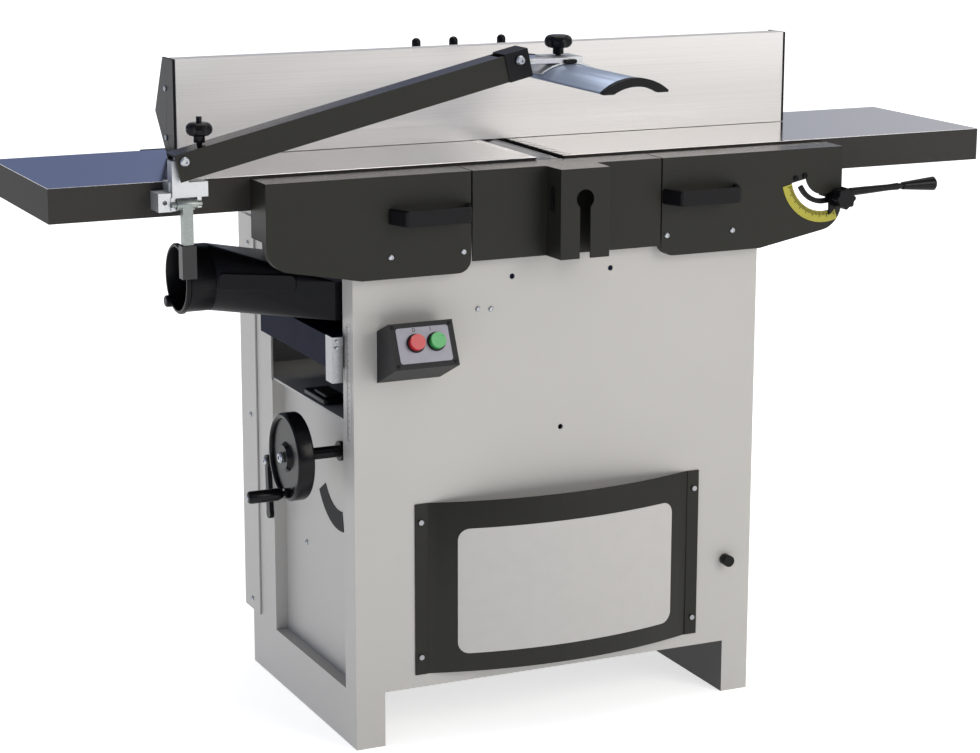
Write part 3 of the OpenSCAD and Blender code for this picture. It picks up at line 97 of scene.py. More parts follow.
def add(tree, kind, settings=None, **sockets):
    """Adds a node, sets its properties, and sets or links its sockets by name or as in0, in1 ..."""
    made = tree.nodes.new(kind)
    for key, value in (settings or {}).items():
        setattr(made, key, value)
    for key, value in sockets.items():
        numbered = key.startswith("in") and key[2:].isdigit()
        end = made.inputs[int(key[2:]) if numbered else key.replace("_", " ")]
        if isinstance(value, bpy.types.NodeSocket):
            tree.links.new(value, end)
        else:
            end.default_value = value
    return made


def maths(tree, operation, a, b):
    """Result of a maths node; each side is a number or a socket."""
    return add(tree, "ShaderNodeMath", {"operation": operation}, in0=a, in1=b).outputs["Value"]


def blend(tree, factor, low, high):
    """Colour between two; each is a linear colour or a socket."""
    return add(tree, "ShaderNodeMix", {"data_type": "RGBA"}, Factor=factor, in6=low,
               in7=high).outputs[2]


def ranged(tree, value, to=(0.0, 1.0), span=(0.0, 1.0), way="LINEAR"):
    """Value carried over from one span to another."""
    return add(tree, "ShaderNodeMapRange", {"interpolation_type": way}, Value=value,
               From_Min=span[0], From_Max=span[1], To_Min=to[0], To_Max=to[1]).outputs["Result"]


def axis_of(tree, vector, axis):
    """One component of a vector."""
    return add(tree, "ShaderNodeSeparateXYZ", Vector=vector).outputs[axis]


def start(name):
    """A fresh material with its tree, its main shader and the piece's own coordinates."""
    made = bpy.data.materials.new(name)
    made.use_nodes = True
    tree = made.node_tree
    shader = tree.nodes["Principled BSDF"]
    where = tree.nodes.new("ShaderNodeTexCoord").outputs["Object"]
    return made, tree, shader, where


print("pure white is", srgb("#ffffff"))

# %% [markdown]
# Floor and light
#
# The machine was photographed for a catalogue, on white, under large soft boxes: a big one from the
# upper right, in front, and a cooler one from the left. A sky that is white above and hazy blue low
# on the left fills the shadows, and the floor is a plain pale sheet that keeps only a soft contact
# shadow.

# %% Floor and light
world = bpy.data.worlds.new("white_studio")
world.use_nodes = True
sky = world.node_tree
gaze = sky.nodes.new("ShaderNodeTexCoord").outputs["Generated"]
lift = ranged(sky, axis_of(sky, gaze, "Z"), span=(0.12, 0.75), way="SMOOTHSTEP")
side = ranged(sky, axis_of(sky, gaze, "X"), span=(0.25, 0.65), way="SMOOTHSTEP")
hazy_left, bright_right = srgb("#97a8da"), (1.3, 1.32, 1.4, 1.0)
haze = blend(sky, lift, blend(sky, side, hazy_left, bright_right), srgb("#ffffff"))
sky.links.new(haze, sky.nodes["Background"].inputs["Color"])
sky.nodes["Background"].inputs["Strength"].default_value = 0.42
scene.world = world
scene.view_settings.view_transform = "Standard"

for name, place, aim, size, power, tint in (
        ("key_softbox", (2.2, -4.2, 2.6), (0, 0, 0.5), 2.4, 84, "#fffaf2"),
        ("left_softbox", (-3.8, -0.6, 2.0), (0, 0, 0.5), 2.2, 4, "#8fb0ff"),
        ("top_softbox", (0.6, 0.6, 3.6), (0, 0, 0.9), 2.6, 34, "#ffffff")):
    data = bpy.data.lights.new(name, "AREA")
    data.size = size
    data.energy = power
    data.color = srgb(tint)[:3]
    lamp = bpy.data.objects.new(name, data)
    aimed = (Vector(aim) - Vector(place)).to_track_quat("-Z", "Y").to_matrix().to_4x4()
    lamp.matrix_world = Matrix.Translation(place) @ aimed
    scene.collection.objects.link(lamp)

# the paper glows a little, more with the distance from the machine, so that it fades into the sky
floor_half, glow_near, glow_far = 40.0, (0.8, 0.66), (3.2, 0.95)
floor_paper, tree, shader, where = start("pale_paper_floor")
shader.inputs["Roughness"].default_value = 0.9
shader.inputs["Emission Color"].default_value = srgb("#ffffff")
far = add(tree, "ShaderNodeVectorMath", {"operation": "LENGTH"}, in0=where).outputs["Value"]
glow = ranged(tree, far, (glow_near[1], glow_far[1]), (glow_near[0], glow_far[0]))
tree.links.new(glow, shader.inputs["Emission Strength"])
speck = add(tree, "ShaderNodeTexNoise", Vector=where, Scale=3.0).outputs["Fac"]
tree.links.new(blend(tree, speck, srgb("#f4f4f3"), srgb("#fbfbfa")), shader.inputs["Base Color"])
sheet = bmesh.new()
bmesh.ops.create_grid(sheet, x_segments=1, y_segments=1, size=floor_half)
floor_mesh = bpy.data.meshes.new("studio_floor")
sheet.to_mesh(floor_mesh)
sheet.free()
floor = bpy.data.objects.new("studio_floor", floor_mesh)
floor_mesh.materials.append(floor_paper)
scene.collection.objects.link(floor)
floor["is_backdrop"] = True

# %% [markdown]
# Patterns
#
# No real surface has one even colour. Two patterns go into nearly every finish: a slow wander between
# two tones, and a grain that tilts the surface. Their sizes are metres on the machine.

# %% Patterns
def mottle(tree, where, dark, light, size):
    """Colour that wanders between two tones over patches of a size."""
    cloud = add(tree, "ShaderNodeTexNoise", Vector=where, Scale=1 / size, Detail=3.0)
    return blend(tree, cloud.outputs["Fac"], srgb(dark), srgb(light))


def grit(tree, where, size, depth):
    """Bump of rounded grains of a size and a depth."""
    grain = add(tree, "ShaderNodeTexNoise", Vector=where, Scale=1 / size, Detail=2.0)
    return add(tree, "ShaderNodeBump", Height=grain.outputs["Fac"], Strength=1.0,
               Distance=depth).outputs["Normal"]


def two_tone(name, dark, light, patch, rough, grain=None, **levels):
    """Finish of two tones, with a grain of a size and a depth, and constants of the shader."""
    made, tree, shader, where = start(name)
    tree.links.new(mottle(tree, where, dark, light, patch), shader.inputs["Base Color"])
    if grain:
        tree.links.new(grit(tree, where, *grain), shader.inputs["Normal"])
    shader.inputs["Roughness"].default_value = rough
    for socket, value in levels.items():
        shader.inputs[socket.replace("_", " ")].default_value = value
    return made


print("patterns ready")

# %% [markdown]
# Paint
#
# The cabinet is powder coated in a warm light grey: a thermoset skin that flows into a faint orange
# peel with bumps a few millimetres across. The covers and the guard arm carry a charcoal structure
# paint, which dries to a fine grit of about half a millimetre, drawn here at one millimetre so that
# it shows at this distance.

# %% Paint
# powder coat on sheet steel: even, warm, satin, with a slow ripple in its reflections. The faces
# that look inward from both sides are painted near black, a painted shade of the cabinet's inside
looks_inward = -0.15
grey_powder_coat, tree, shader, where = start("grey_powder_coat")
outward = tree.nodes.new("ShaderNodeTexCoord").outputs["Normal"]
away = maths(tree, "MULTIPLY", axis_of(tree, outward, "X"), axis_of(tree, where, "X"))
# faces that look inward get a near-black colour: painted shade
painted_shade_inside = maths(tree, "LESS_THAN", away, looks_inward)
coat = blend(tree, painted_shade_inside, mottle(tree, where, "#b0aea9", "#b8b6b1", 0.25), srgb("#151514"))
tree.links.new(coat, shader.inputs["Base Color"])
tree.links.new(grit(tree, where, 0.004, 0.00008), shader.inputs["Normal"])
shader.inputs["Roughness"].default_value = 0.42
shader.inputs["IOR"].default_value = 1.5


def structure_paint(name, sheen_colour, shine):
    """Charcoal paint, dull and grainy; the faces that look up take a lighter colour and a shine: a
    painted sheen.
    """
    made, tree, shader, where = start(name)
    outward = tree.nodes.new("ShaderNodeTexCoord").outputs["Normal"]
    # faces that look up: the mask of the painted sheen
    painted_sheen_top = maths(tree, "GREATER_THAN", axis_of(tree, outward, "Z"), 0.9)
    paint = blend(tree, painted_sheen_top, mottle(tree, where, "#1b1b17", "#25241e", 0.0016), srgb(sheen_colour))
    tree.links.new(paint, shader.inputs["Base Color"])
    gloss = maths(tree, "MULTIPLY", painted_sheen_top, shine)
    tree.links.new(gloss, shader.inputs["Metallic"])
    tree.links.new(ranged(tree, gloss, (0.46, 0.26)), shader.inputs["Roughness"])
    tree.links.new(grit(tree, where, 0.001, 0.00012), shader.inputs["Normal"])
    shader.inputs["Specular IOR Level"].default_value = 0.22
    return made


# the faces of covers and arm that look up carry a painted sheen, a lighter metallic colour that
# mirrors the fence at a flat angle and stays dark from above. The door gets only a faint lighter
# colour on top and no shine
charcoal_structure_paint = structure_paint("charcoal_structure_paint", "#26251f", 0.0)
charcoal_paint_sheen = structure_paint("charcoal_paint_sheen", "#605d5b", 1.0)

# dark enamel on the castings inside: blue-black, brushed on
blue_black_enamel = two_tone("blue_black_enamel", "#0c1022", "#141a33", 0.03, 0.6,
                             (0.003, 0.0001), Specular_IOR_Level=0.06)
print("paints:", grey_powder_coat.name, charcoal_structure_paint.name, blue_black_enamel.name)

# %% [markdown]
# Plastics
#
# Handles, hood and end caps are moulded in black nylon and ABS. Moulds are spark eroded, which leaves
# a fine matt grain. Only wheel, knobs and levers, and the two push buttons, come out of a polished
# mould.

# %% Plastics
# black ABS out of a spark eroded mould: dull, with a grain of about a millimetre
black_moulded_abs = two_tone("black_moulded_abs", "#0b0b0d", "#131316", 0.012, 0.38,
                             (0.0012, 0.00006), Specular_IOR_Level=0.15)
# pressed phenolic of the wheel, knobs and levers: black and polished, so it shows the soft boxes
black_polished_phenolic = two_tone("black_polished_phenolic", "#09090b", "#111114", 0.01, 0.24,
                                   (0.006, 0.00006), Specular_IOR_Level=0.16)
# the switch box: a slightly paler ABS with a coarser grain
grey_moulded_abs = two_tone("grey_moulded_abs", "#131315", "#1a1a1d", 0.01, 0.5,
                            (0.0012, 0.00008), Specular_IOR_Level=0.3)
# push buttons: coloured through and polished
red_polished_abs = two_tone("red_polished_abs", "#b7222b", "#c02e34", 0.006, 0.25)
green_polished_abs = two_tone("green_polished_abs", "#2f9a4a", "#3ea759", 0.006, 0.25)
# belt rubber, filled with soot: black and dull
ribbed_belt_rubber = two_tone("ribbed_belt_rubber", "#141414", "#1d1d1c", 0.008, 0.7)
print("plastics made, finishes so far:", len(bpy.data.materials))

# %% [markdown]
# Metals
#
# The table tops are cast iron, ground along their length and oiled: dark, and mirror-like at a flat
# angle. Their rims are left as cast and painted. The fence is an aluminium section with a brushed
# face. Shafts and small parts are turned steel.

# %% Metals
def brushed(tree, where, along, across):
    """Streaks drawn out along X: long in that direction, narrow in the others, in metres."""
    scaled = add(tree, "ShaderNodeMapping", Vector=where, Scale=(1 / along, 1 / across, 1 / across))
    return add(tree, "ShaderNodeTexNoise", Vector=scaled.outputs["Vector"], Scale=1.0,
               Detail=4.0).outputs["Fac"]


# ground cast iron on top, painted casting on the sides: the switch is the height of the surface
ground_from = 0.8694
ground_cast_iron, tree, shader, where = start("ground_cast_iron")
streak = brushed(tree, where, 0.25, 0.0012)
top = maths(tree, "GREATER_THAN", axis_of(tree, where, "Z"), ground_from)
ground = blend(tree, streak, srgb("#d6d4d4"), srgb("#e3e1e1"))
casting = mottle(tree, where, "#171410", "#201c17", 0.006)
tree.links.new(blend(tree, top, casting, ground), shader.inputs["Base Color"])
tree.links.new(top, shader.inputs["Metallic"])
rough = add(tree, "ShaderNodeMix", {"data_type": "FLOAT"}, Factor=top, in2=0.68,
            in3=ranged(tree, streak, (0.1, 0.17))).outputs[0]
tree.links.new(rough, shader.inputs["Roughness"])
tree.links.new(grit(tree, where, 0.002, 0.00001), shader.inputs["Normal"])

# brushed aluminium: bright, with fine lengthwise lines that smear reflections
brushed_aluminium, tree, shader, where = start("brushed_aluminium")
streak = brushed(tree, where, 0.5, 0.0022)
tree.links.new(blend(tree, streak, srgb("#cfcdca"), srgb("#e6e4e2")), shader.inputs["Base Color"])
tree.links.new(ranged(tree, streak, (0.36, 0.54)), shader.inputs["Roughness"])
shader.inputs["Metallic"].default_value = 0.5

# anodised aluminium of the guard beam: a smooth satin skin; the blue in its colour is a painted
# reflection of the sky
satin_anodised_aluminium, tree, shader, where = start("satin_anodised_aluminium")
streak = brushed(tree, where, 0.003, 0.02)
tree.links.new(blend(tree, streak, srgb("#9fadc6"), srgb("#b0bcd0")), shader.inputs["Base Color"])
shader.inputs["Metallic"].default_value = 0.8
shader.inputs["Roughness"].default_value = 0.35

# turned steel: bright, close rings too fine to see, so only a soft shimmer is drawn
turned_steel = two_tone("turned_steel", "#85878a", "#a2a4a7", 0.004, 0.3, Metallic=1.0)
# cast aluminium, shot blasted: pale, dull and grainy
blasted_aluminium = two_tone("blasted_aluminium", "#b9bbbd", "#d0d2d3", 0.002, 0.45,
                             (0.0012, 0.00008), Metallic=0.85)
# zinc plated screws: bright and slightly blue
zinc_plated_steel = two_tone("zinc_plated_steel", "#9da0a4", "#babdc1", 0.002, 0.32, Metallic=1.0)

# steel bar of the clamping lever with its moulded grip: the grip starts below a height
grip_height = 0.785
bar_and_grip, tree, shader, where = start("steel_bar_black_grip")
bare = maths(tree, "GREATER_THAN", axis_of(tree, where, "Z"), grip_height)
tone = blend(tree, bare, mottle(tree, where, "#0b0b0d", "#131316", 0.012),
             mottle(tree, where, "#7f8583", "#989e9b", 0.004))
tree.links.new(tone, shader.inputs["Base Color"])
tree.links.new(bare, shader.inputs["Metallic"])
tree.links.new(grit(tree, where, 0.0012, 0.00005), shader.inputs["Normal"])
shader.inputs["Roughness"].default_value = 0.38
print("metals made, finishes so far:", len(bpy.data.materials))

# %% [markdown]
# Films
#
# Scales and plates are printed on polyester film and stuck on. The film is smooth and its ink a
# little duller than bare plastic.

# %% Films
# yellow scale, pale field of the door, silver switch plate, and black print
yellow_film = two_tone("yellow_printed_film", "#9a931f", "#a8a12c", 0.01, 0.4)
pale_film = two_tone("pale_printed_film", "#b0aeaa", "#b7b5b1", 0.02, 0.38)
silver_film = two_tone("silver_printed_film", "#777781", "#85858f", 0.02, 0.34, Metallic=0.3)
black_film = two_tone("black_printed_film", "#121213", "#1b1b1d", 0.02, 0.45,
                      Specular_IOR_Level=0.06)
print("finishes:", len(bpy.data.materials))

# %% [markdown]
# Dressing the solids
#
# Every solid keeps its shape. A weld joins its loose triangles, and a small bevel rounds the edges
# that a press brake, a mould or a file leaves round on the real piece, so that they catch the light.

# %% Dress the solids
finish_of = {
    grey_powder_coat: "front_wall rear_wall left_side_panel right_side_panel deck_plate drive_cover",
    charcoal_structure_paint: "access_cover",
    charcoal_paint_sheen: "centre_cover left_cover right_cover guard_arm",
    blue_black_enamel: "front_housing rear_housing cutter_pulley motor motor_pulley outfeed_roller "
                       "kickback_fingers thicknesser_bed column_sleeve fence_rail right_carrier "
                       "fence_carriage fence_bracket",
    bar_and_grip: "guard_clamp_lever",
    black_moulded_abs: "shaft_flange feed_lever dust_hood beam_end_caps fence_end_caps "
                       "left_handle right_handle",
    black_polished_phenolic: "panel_knob handwheel handwheel_shaft crank_handle guard_height_knob "
                             "guard_lock_knob height_lever left_tilt_lever length_lever "
                             "right_tilt_lever",
    grey_moulded_abs: "switch_box",
    red_polished_abs: "stop_button",
    green_polished_abs: "start_button",
    ribbed_belt_rubber: "drive_belt",
    ground_cast_iron: "left_table right_table",
    brushed_aluminium: "fence_plate",
    satin_anodised_aluminium: "guard_beam",
    blasted_aluminium: "guard_bracket guard_head",
    turned_steel: "frame_fasteners bearings cutter_block cutter_knives infeed_roller bed_pointer "
                  "lift_column lead_screw",
}
# bevels in millimetres where they differ from the usual one; sheets in crisp keep their edges
usual_bevel = 0.8
bevel_of = {"left_handle": 3.5, "right_handle": 3.5, "switch_box": 4.0, "guard_arm": 1.5,
            "left_table": 1.5, "right_table": 1.5, "guard_clamp_lever": 2.5, "guard_bracket": 1.5,
            "thicknesser_bed": 2.0, "fence_plate": 1.0, "dust_hood": 1.0}
crisp = {"front_wall", "rear_wall", "deck_plate", "left_side_panel", "right_side_panel"}
MM = 0.001
weld_gap = 0.01 * MM


def bevelled(piece, width):
    """Bevels every edge sharper than 40 degrees by a width in millimetres."""
    soft = piece.modifiers.new("soft_edges", "BEVEL")
    soft.width = width * MM
    soft.segments = 2
    soft.limit_method = "ANGLE"
    soft.angle_limit = math.radians(40)
    return soft


for finish, names in finish_of.items():
    for name in names.split():
        piece = cad[name]
        piece.data.materials.clear()
        piece.data.materials.append(finish)
        if name not in crisp:
            piece.modifiers.new("weld", "WELD").merge_threshold = weld_gap
            bevelled(piece, bevel_of.get(name, usual_bevel)).harden_normals = True
dressed = sum(len(names.split()) for names in finish_of.values())
print("dressed", dressed, "of", len(cad), "solids")

# %% [markdown]
# Tools for small pieces
#
# Plates, bolts and films are simple closed forms. Two helpers are enough: one pushes a flat outline
# along a line, as a saw cuts a section, and one turns a half profile round an axis, as a lathe does.
# A band is a row of such sections, welded. All sizes are in millimetres, measured on the machine, and
# every piece is left at the origin.

# %% Tools for small pieces
# a film lies this far off its seat, so that the two faces never fall together
SEAT = 0.05
cover_face, wall_face, panel_face, post_face, deck_top = -195.0, -175.0, -315.0, -335.0, 503.0
front, left, rear = (0, -1, 0), (-1, 0, 0), (0, 1, 0)


def prism(solid, outline, push):
    """Closed prism: a flat outline and its copy, pushed by a vector."""
    push = Vector(push)
    low = [solid.verts.new(Vector(p) * MM) for p in outline]
    high = [solid.verts.new((Vector(p) + push) * MM) for p in outline]
    solid.faces.new(low)
    solid.faces.new(high)
    for i in range(len(low)):
        j = (i + 1) % len(low)
        solid.faces.new((low[i], low[j], high[j], high[i]))


def band(solid, inner, outer, push):
    """Closed band between two rows of points: prisms side by side, without the walls between."""
    for corners in zip(inner, inner[1:], outer[1:], outer):
        prism(solid, corners, push)
    bmesh.ops.remove_doubles(solid, verts=solid.verts, dist=weld_gap)
    walls = [f for f in solid.faces if all(len(e.link_faces) > 2 for e in f.edges)]
    bmesh.ops.delete(solid, geom=walls, context="FACES_ONLY")


def turned(solid, profile, place, axis, steps=28):
    """Closed turned form: (radius, height) pairs from the axis and back to it, along an axis."""
    stand = Vector(axis).normalized().to_track_quat("Z", "Y").to_matrix()
    place = Vector(place)
    angles = [math.tau * i / steps for i in range(steps)]
    rings = []
    for radius, height in profile:
        ring = [Vector((radius * math.cos(a), radius * math.sin(a), height)) for a in angles]
        ring = ring if radius else ring[:1]
        rings.append([solid.verts.new((place + stand @ p) * MM) for p in ring])
    for a, b in zip(rings, rings[1:]):
        for i in range(steps):
            j = (i + 1) % steps
            corners = [a[i % len(a)], a[j % len(a)], b[j % len(b)], b[i % len(b)]]
            corners = [c for n, c in enumerate(corners) if c not in corners[:n]]
            if len(corners) > 2:
                solid.faces.new(corners)


def rounded(x, z, radius, steps=5):
    """Outline of a rectangle with round corners: (x, z) pairs."""
    corners = ((x[1] - radius, z[1] - radius, 0), (x[0] + radius, z[1] - radius, 90),
               (x[0] + radius, z[0] + radius, 180), (x[1] - radius, z[0] + radius, 270))
    swings = [(cx, cz, math.radians(a + 90 * i / steps))
              for cx, cz, a in corners for i in range(steps + 1)]
    return [(cx + radius * math.cos(a), cz + radius * math.sin(a)) for cx, cz, a in swings]


def arc(centre, radius, angles):
    """Points of an arc: (across, up) pairs."""
    return [(centre[0] + radius * math.cos(a), centre[1] + radius * math.sin(a)) for a in angles]


def keep(name, solid, body, finish, bevel=0.0):
    """Makes a finished piece of a mesh in hand and lets it ride on a body."""
    bmesh.ops.recalc_face_normals(solid, faces=solid.faces)
    mesh = bpy.data.meshes.new(name)
    solid.to_mesh(mesh)
    solid.free()
    mesh.materials.append(finish)
    mesh.shade_smooth()
    mesh.set_sharp_from_angle(angle=math.radians(35))
    made = bpy.data.objects.new(name, mesh)
    scene.collection.objects.link(made)
    if bevel:
        bevelled(made, bevel)
    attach(made, body)


print("tools ready, one millimetre is", MM)

# %% [markdown]
# Trees for repeated pieces
#
# Screws, ticks and louvres repeat, so Geometry Nodes set them: a small form becomes an instance on
# every point of a mesh or a path. The instances are then made real and kept as one plain mesh for
# each body, because a part library keeps meshes and no instances.

# %% Trees for repeated pieces
def tree_with(name, **inputs):
    """A node tree with named inputs and one geometry output."""
    tree = bpy.data.node_groups.new(name, "GeometryNodeTree")
    for label, kind in inputs.items():
        tree.interface.new_socket(label.replace("_", " "), in_out="INPUT",
                                  socket_type="NodeSocket" + kind)
    tree.interface.new_socket("Geometry", in_out="OUTPUT", socket_type="NodeSocketGeometry")
    return tree, tree.nodes.new("NodeGroupInput").outputs


def end_tree(tree, geometry, finish):
    """Realizes the instances, sets the finish and closes the tree."""
    real = add(tree, "GeometryNodeRealizeInstances", Geometry=geometry).outputs["Geometry"]
    painted = add(tree, "GeometryNodeSetMaterial", Geometry=real, Material=finish)
    add(tree, "NodeGroupOutput", Geometry=painted.outputs["Geometry"])


def grown(name, tree, mesh, settings, body):
    """Runs a tree on a mesh, keeps the result as a plain mesh and lets it ride on a body."""
    made = bpy.data.objects.new(name, mesh)
    scene.collection.objects.link(made)
    growth = made.modifiers.new("growth", "NODES")
    growth.node_group = tree
    for socket in tree.interface.items_tree:
        if socket.in_out == "INPUT" and socket.name in settings:
            growth[socket.identifier] = settings[socket.name]
    bpy.context.view_layer.update()
    ready = made.evaluated_get(bpy.context.evaluated_depsgraph_get())
    plain = bpy.data.meshes.new_from_object(ready)
    made.modifiers.remove(growth)
    plain.name = name
    made.data = plain
    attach(made, body)
    print(name, "has", len(plain.polygons), "faces on", body)


print("ready to grow screws, ticks and louvres")

# %% [markdown]
# Screws
#
# Covers and panels are held by zinc plated screws with a hexagon socket. A head is two cones made one
# solid and a hexagonal cut, and it is turned to the direction that its point carries.

# %% Tree of the screws
head_sides, socket_sides, crown_share, socket_floor, socket_share = 20, 6, 0.72, 0.6, 0.45
screw_tree, inlet = tree_with("socket_screws", Places="Geometry", Head_radius="Float",
                              Head_height="Float", Socket_radius="Float", Finish="Material")
head_r, head_h, socket_r = inlet["Head radius"], inlet["Head height"], inlet["Socket radius"]


def cone(sides, low, high, depth, lift=None):
    """A cone with two radii, lifted by a height."""
    made = add(screw_tree, "GeometryNodeMeshCone", Vertices=sides, Radius_Bottom=low,
               Radius_Top=high, Depth=depth).outputs["Mesh"]
    if lift is None:
        return made
    up = add(screw_tree, "ShaderNodeCombineXYZ", Z=lift).outputs["Vector"]
    return add(screw_tree, "GeometryNodeTransform", Geometry=made,
               Translation=up).outputs["Geometry"]


half = maths(screw_tree, "MULTIPLY", head_h, 0.5)
crown_r = maths(screw_tree, "MULTIPLY", head_r, crown_share)
floor_up = maths(screw_tree, "MULTIPLY", head_h, socket_floor)
head = add(screw_tree, "GeometryNodeMeshBoolean", {"operation": "UNION", "solver": "EXACT"})
for form in (cone(head_sides, head_r, head_r, half), cone(head_sides, head_r, crown_r, half, half)):
    screw_tree.links.new(form, head.inputs["Mesh 2"])
bored = add(screw_tree, "GeometryNodeMeshBoolean", {"operation": "DIFFERENCE", "solver": "EXACT"})
screw_tree.links.new(head.outputs["Mesh"], bored.inputs["Mesh 1"])
screw_tree.links.new(cone(socket_sides, socket_r, socket_r, head_h, floor_up), bored.inputs["Mesh 2"])
facing = add(screw_tree, "GeometryNodeInputNamedAttribute", {"data_type": "FLOAT_VECTOR"},
             Name="facing").outputs["Attribute"]
turn = add(screw_tree, "FunctionNodeAlignRotationToVector", {"axis": "Z"}, Vector=facing)
spread = add(screw_tree, "GeometryNodeInstanceOnPoints", Points=inlet["Places"],
             Instance=bored.outputs["Mesh"], Rotation=turn.outputs["Rotation"])
end_tree(screw_tree, spread.outputs["Instances"], inlet["Finish"])
print("screw tree has", len(screw_tree.nodes), "nodes")

# %% [markdown]
# Where the screws sit
#
# The places are read off the photograph, and behind the machine they follow the rim of the sheet.
# Each set rides on the body that it is screwed into.

# %% Where the screws sit
def screws(name, body, places, radius, height, finish=zinc_plated_steel):
    """Screws on one body: each place is a point and the way that its head faces."""
    mesh = bpy.data.meshes.new(name + "_places")
    mesh.from_pydata([Vector(p) * MM for p, _ in places], [], [])
    way = mesh.attributes.new("facing", "FLOAT_VECTOR", "POINT")
    for i, (_, facing) in enumerate(places):
        way.data[i].vector = facing
    settings = {"Head radius": radius * MM, "Head height": height * MM,
                "Socket radius": radius * socket_share * MM, "Finish": finish}
    grown(name, screw_tree, mesh, settings, body)


def row(x_places, y, z):
    """Screws in a level row that face the front."""
    return [((x, y, z), front) for x in x_places]


cover_row = 748.5
screws("left_cover_screws", "left_table", row((-283, -169), cover_face, cover_row), 4.2, 2.6)
screws("right_cover_screws", "right_carrier", row((166, 279), cover_face, cover_row), 4.2, 2.6)
scale_screws = row((389,), cover_face, 821) + row((405,), cover_face, 824)
screws("scale_screws", "right_carrier", scale_screws, 4.4, 3.6, black_moulded_abs)
wall_screws = row((-137,), wall_face, 657.4) + row((-116,), wall_face, 655.6)
side_screws = [(place, left) for place in ((panel_face, 77, 254), (-338, 269.5, 108.7),
                                           (-338, 262, 700), (-338, 262, 420))]
screws("cabinet_screws", "frame", wall_screws + side_screws, 4.0, 2.4)
pointer_screws = [((-349, -147.5, z), front) for z in (622, 612)]
screws("pointer_screws", "bed", pointer_screws, 2.6, 1.6)
arm_bolts = row((-583,), -179, 902.6) + row((-73.5,), -182, 1020.2)
screws("arm_bolts", "guard_arm", arm_bolts, 7.0, 5.5)
screws("lever_bolt", "feed_lever", [((-342.3, 183, 362), left)], 6.0, 4.0)
screws("cap_screws", "fence", [((-517.5, 105, z), left) for z in (897, 970)], 4.4, 2.0)
nut, crank_end = (-411, -76, 438), (-465, -76, 382)
screws("wheel_nut", "handwheel", [(nut, left)], 8.5, 5.0)
screws("crank_bolt", "crank_handle", [(crank_end, left)], 4.0, 1.6)

# %% [markdown]
# The inlay of the access cover
#
# The door in the front is a bowed sheet with a pale field printed on it, framed by the dark paint. A
# field that lies on a bowed sheet is a grid that takes the sheet's own radius: every column of points
# is set on the arc, and the ends of the columns follow the round corners.

# %% Inlay of the access cover
bow_radius, bow_out = 684.5, 37.0
bow_centre = wall_face - bow_out + bow_radius
inlay_x, inlay_z, inlay_round, film = (-176.0, 188.0), (134.0, 329.0), 18.0, 0.5
corner_steps, flat_steps = 10, 30


def on_bow(x, z, out):
    """Point of the bowed door, set out from its surface."""
    r = bow_radius + out
    return Vector((x, bow_centre - math.sqrt(r * r - x * x), z)) * MM


field = bmesh.new()
ease = [inlay_round * (1 - math.cos(math.pi / 2 * i / corner_steps)) for i in range(corner_steps + 1)]
flat = inlay_x[1] - inlay_x[0] - 2 * inlay_round
columns = [inlay_x[0] + e for e in ease]
columns += [inlay_x[0] + inlay_round + flat * i / flat_steps for i in range(1, flat_steps)]
columns += [inlay_x[1] - e for e in reversed(ease)]
rows = []
for x in columns:
    gap = min(x - inlay_x[0], inlay_x[1] - x, inlay_round)
    inset = inlay_round - math.sqrt(max(inlay_round ** 2 - (inlay_round - gap) ** 2, 0))
    ends = (inlay_z[0] + inset, inlay_z[1] - inset)
    rows.append([[field.verts.new(on_bow(x, z, out)) for z in ends] for out in (SEAT, film)])
for a, b in zip(rows, rows[1:]):
    field.faces.new((a[1][0], b[1][0], b[1][1], a[1][1]))
    field.faces.new((a[0][0], a[0][1], b[0][1], b[0][0]))
    for k in (0, 1):
        field.faces.new((a[0][k], b[0][k], b[1][k], a[1][k]))
for end in (rows[0], rows[-1]):
    field.faces.new((end[0][0], end[0][1], end[1][1], end[1][0]))
keep("access_inlay", field, "frame", pale_film)
print("inlay of", len(columns), "columns")

# %% [markdown]
# Switch plate
#
# The two push buttons stand in a silver plate on the leaning face of the switch box, marked with the
# usual circle for stop and bar for start. The plate is drawn flat and then laid on the face.

# %% Switch plate
lean = Matrix.Translation((-298, -246.5, 594)) @ Matrix.Rotation(math.radians(65), 4, "X")
plate_t, print_t = 1.0, 0.2
stop_mark, mark_sides = (37.0, 57.0), 20
outer_mark, inner_mark = (2.4, 2.8), (1.6, 2.0)
start_mark = ((62.5, 54.2), (63.5, 54.2), (63.5, 59.8), (62.5, 59.8))


def on_switch(points, out):
    """Lays flat (u, v) points on the leaning face of the switch box, set out by a height."""
    return [lean @ Vector((u, v, out)) for u, v in points]


def oval(half_u, half_v):
    """Closed oval round the place of the stop mark."""
    angles = [math.tau * i / mark_sides for i in range(mark_sides)]
    around = [(stop_mark[0] + half_u * math.cos(a), stop_mark[1] + half_v * math.sin(a))
              for a in angles]
    return on_switch(around + around[:1], plate_t)


out_of_face = lean.to_3x3() @ Vector((0, 0, 1))
plate = bmesh.new()
prism(plate, on_switch(rounded((9, 91), (8, 61), 4), SEAT), out_of_face * plate_t)
keep("switch_plate", plate, "frame", silver_film, bevel=0.3)
marks = bmesh.new()
band(marks, oval(*outer_mark), oval(*inner_mark), out_of_face * print_t)
prism(marks, on_switch(start_mark, plate_t), out_of_face * print_t)
keep("switch_marks", marks, "frame", black_film)
corners = on_switch([(u, v) for u in (5.5, 94.5) for v in (5.5, 63)], 0)
screws("switch_screws", "frame", [(c, out_of_face) for c in corners], 2.6, 1.4, black_moulded_abs)

# %% [markdown]
# Depth scale
#
# The depth of cut is read on a yellow arc round the lever's axle, a film with fine black ticks. A tree
# grows the ticks: the arc is turned into points, and every point gets a small bar.

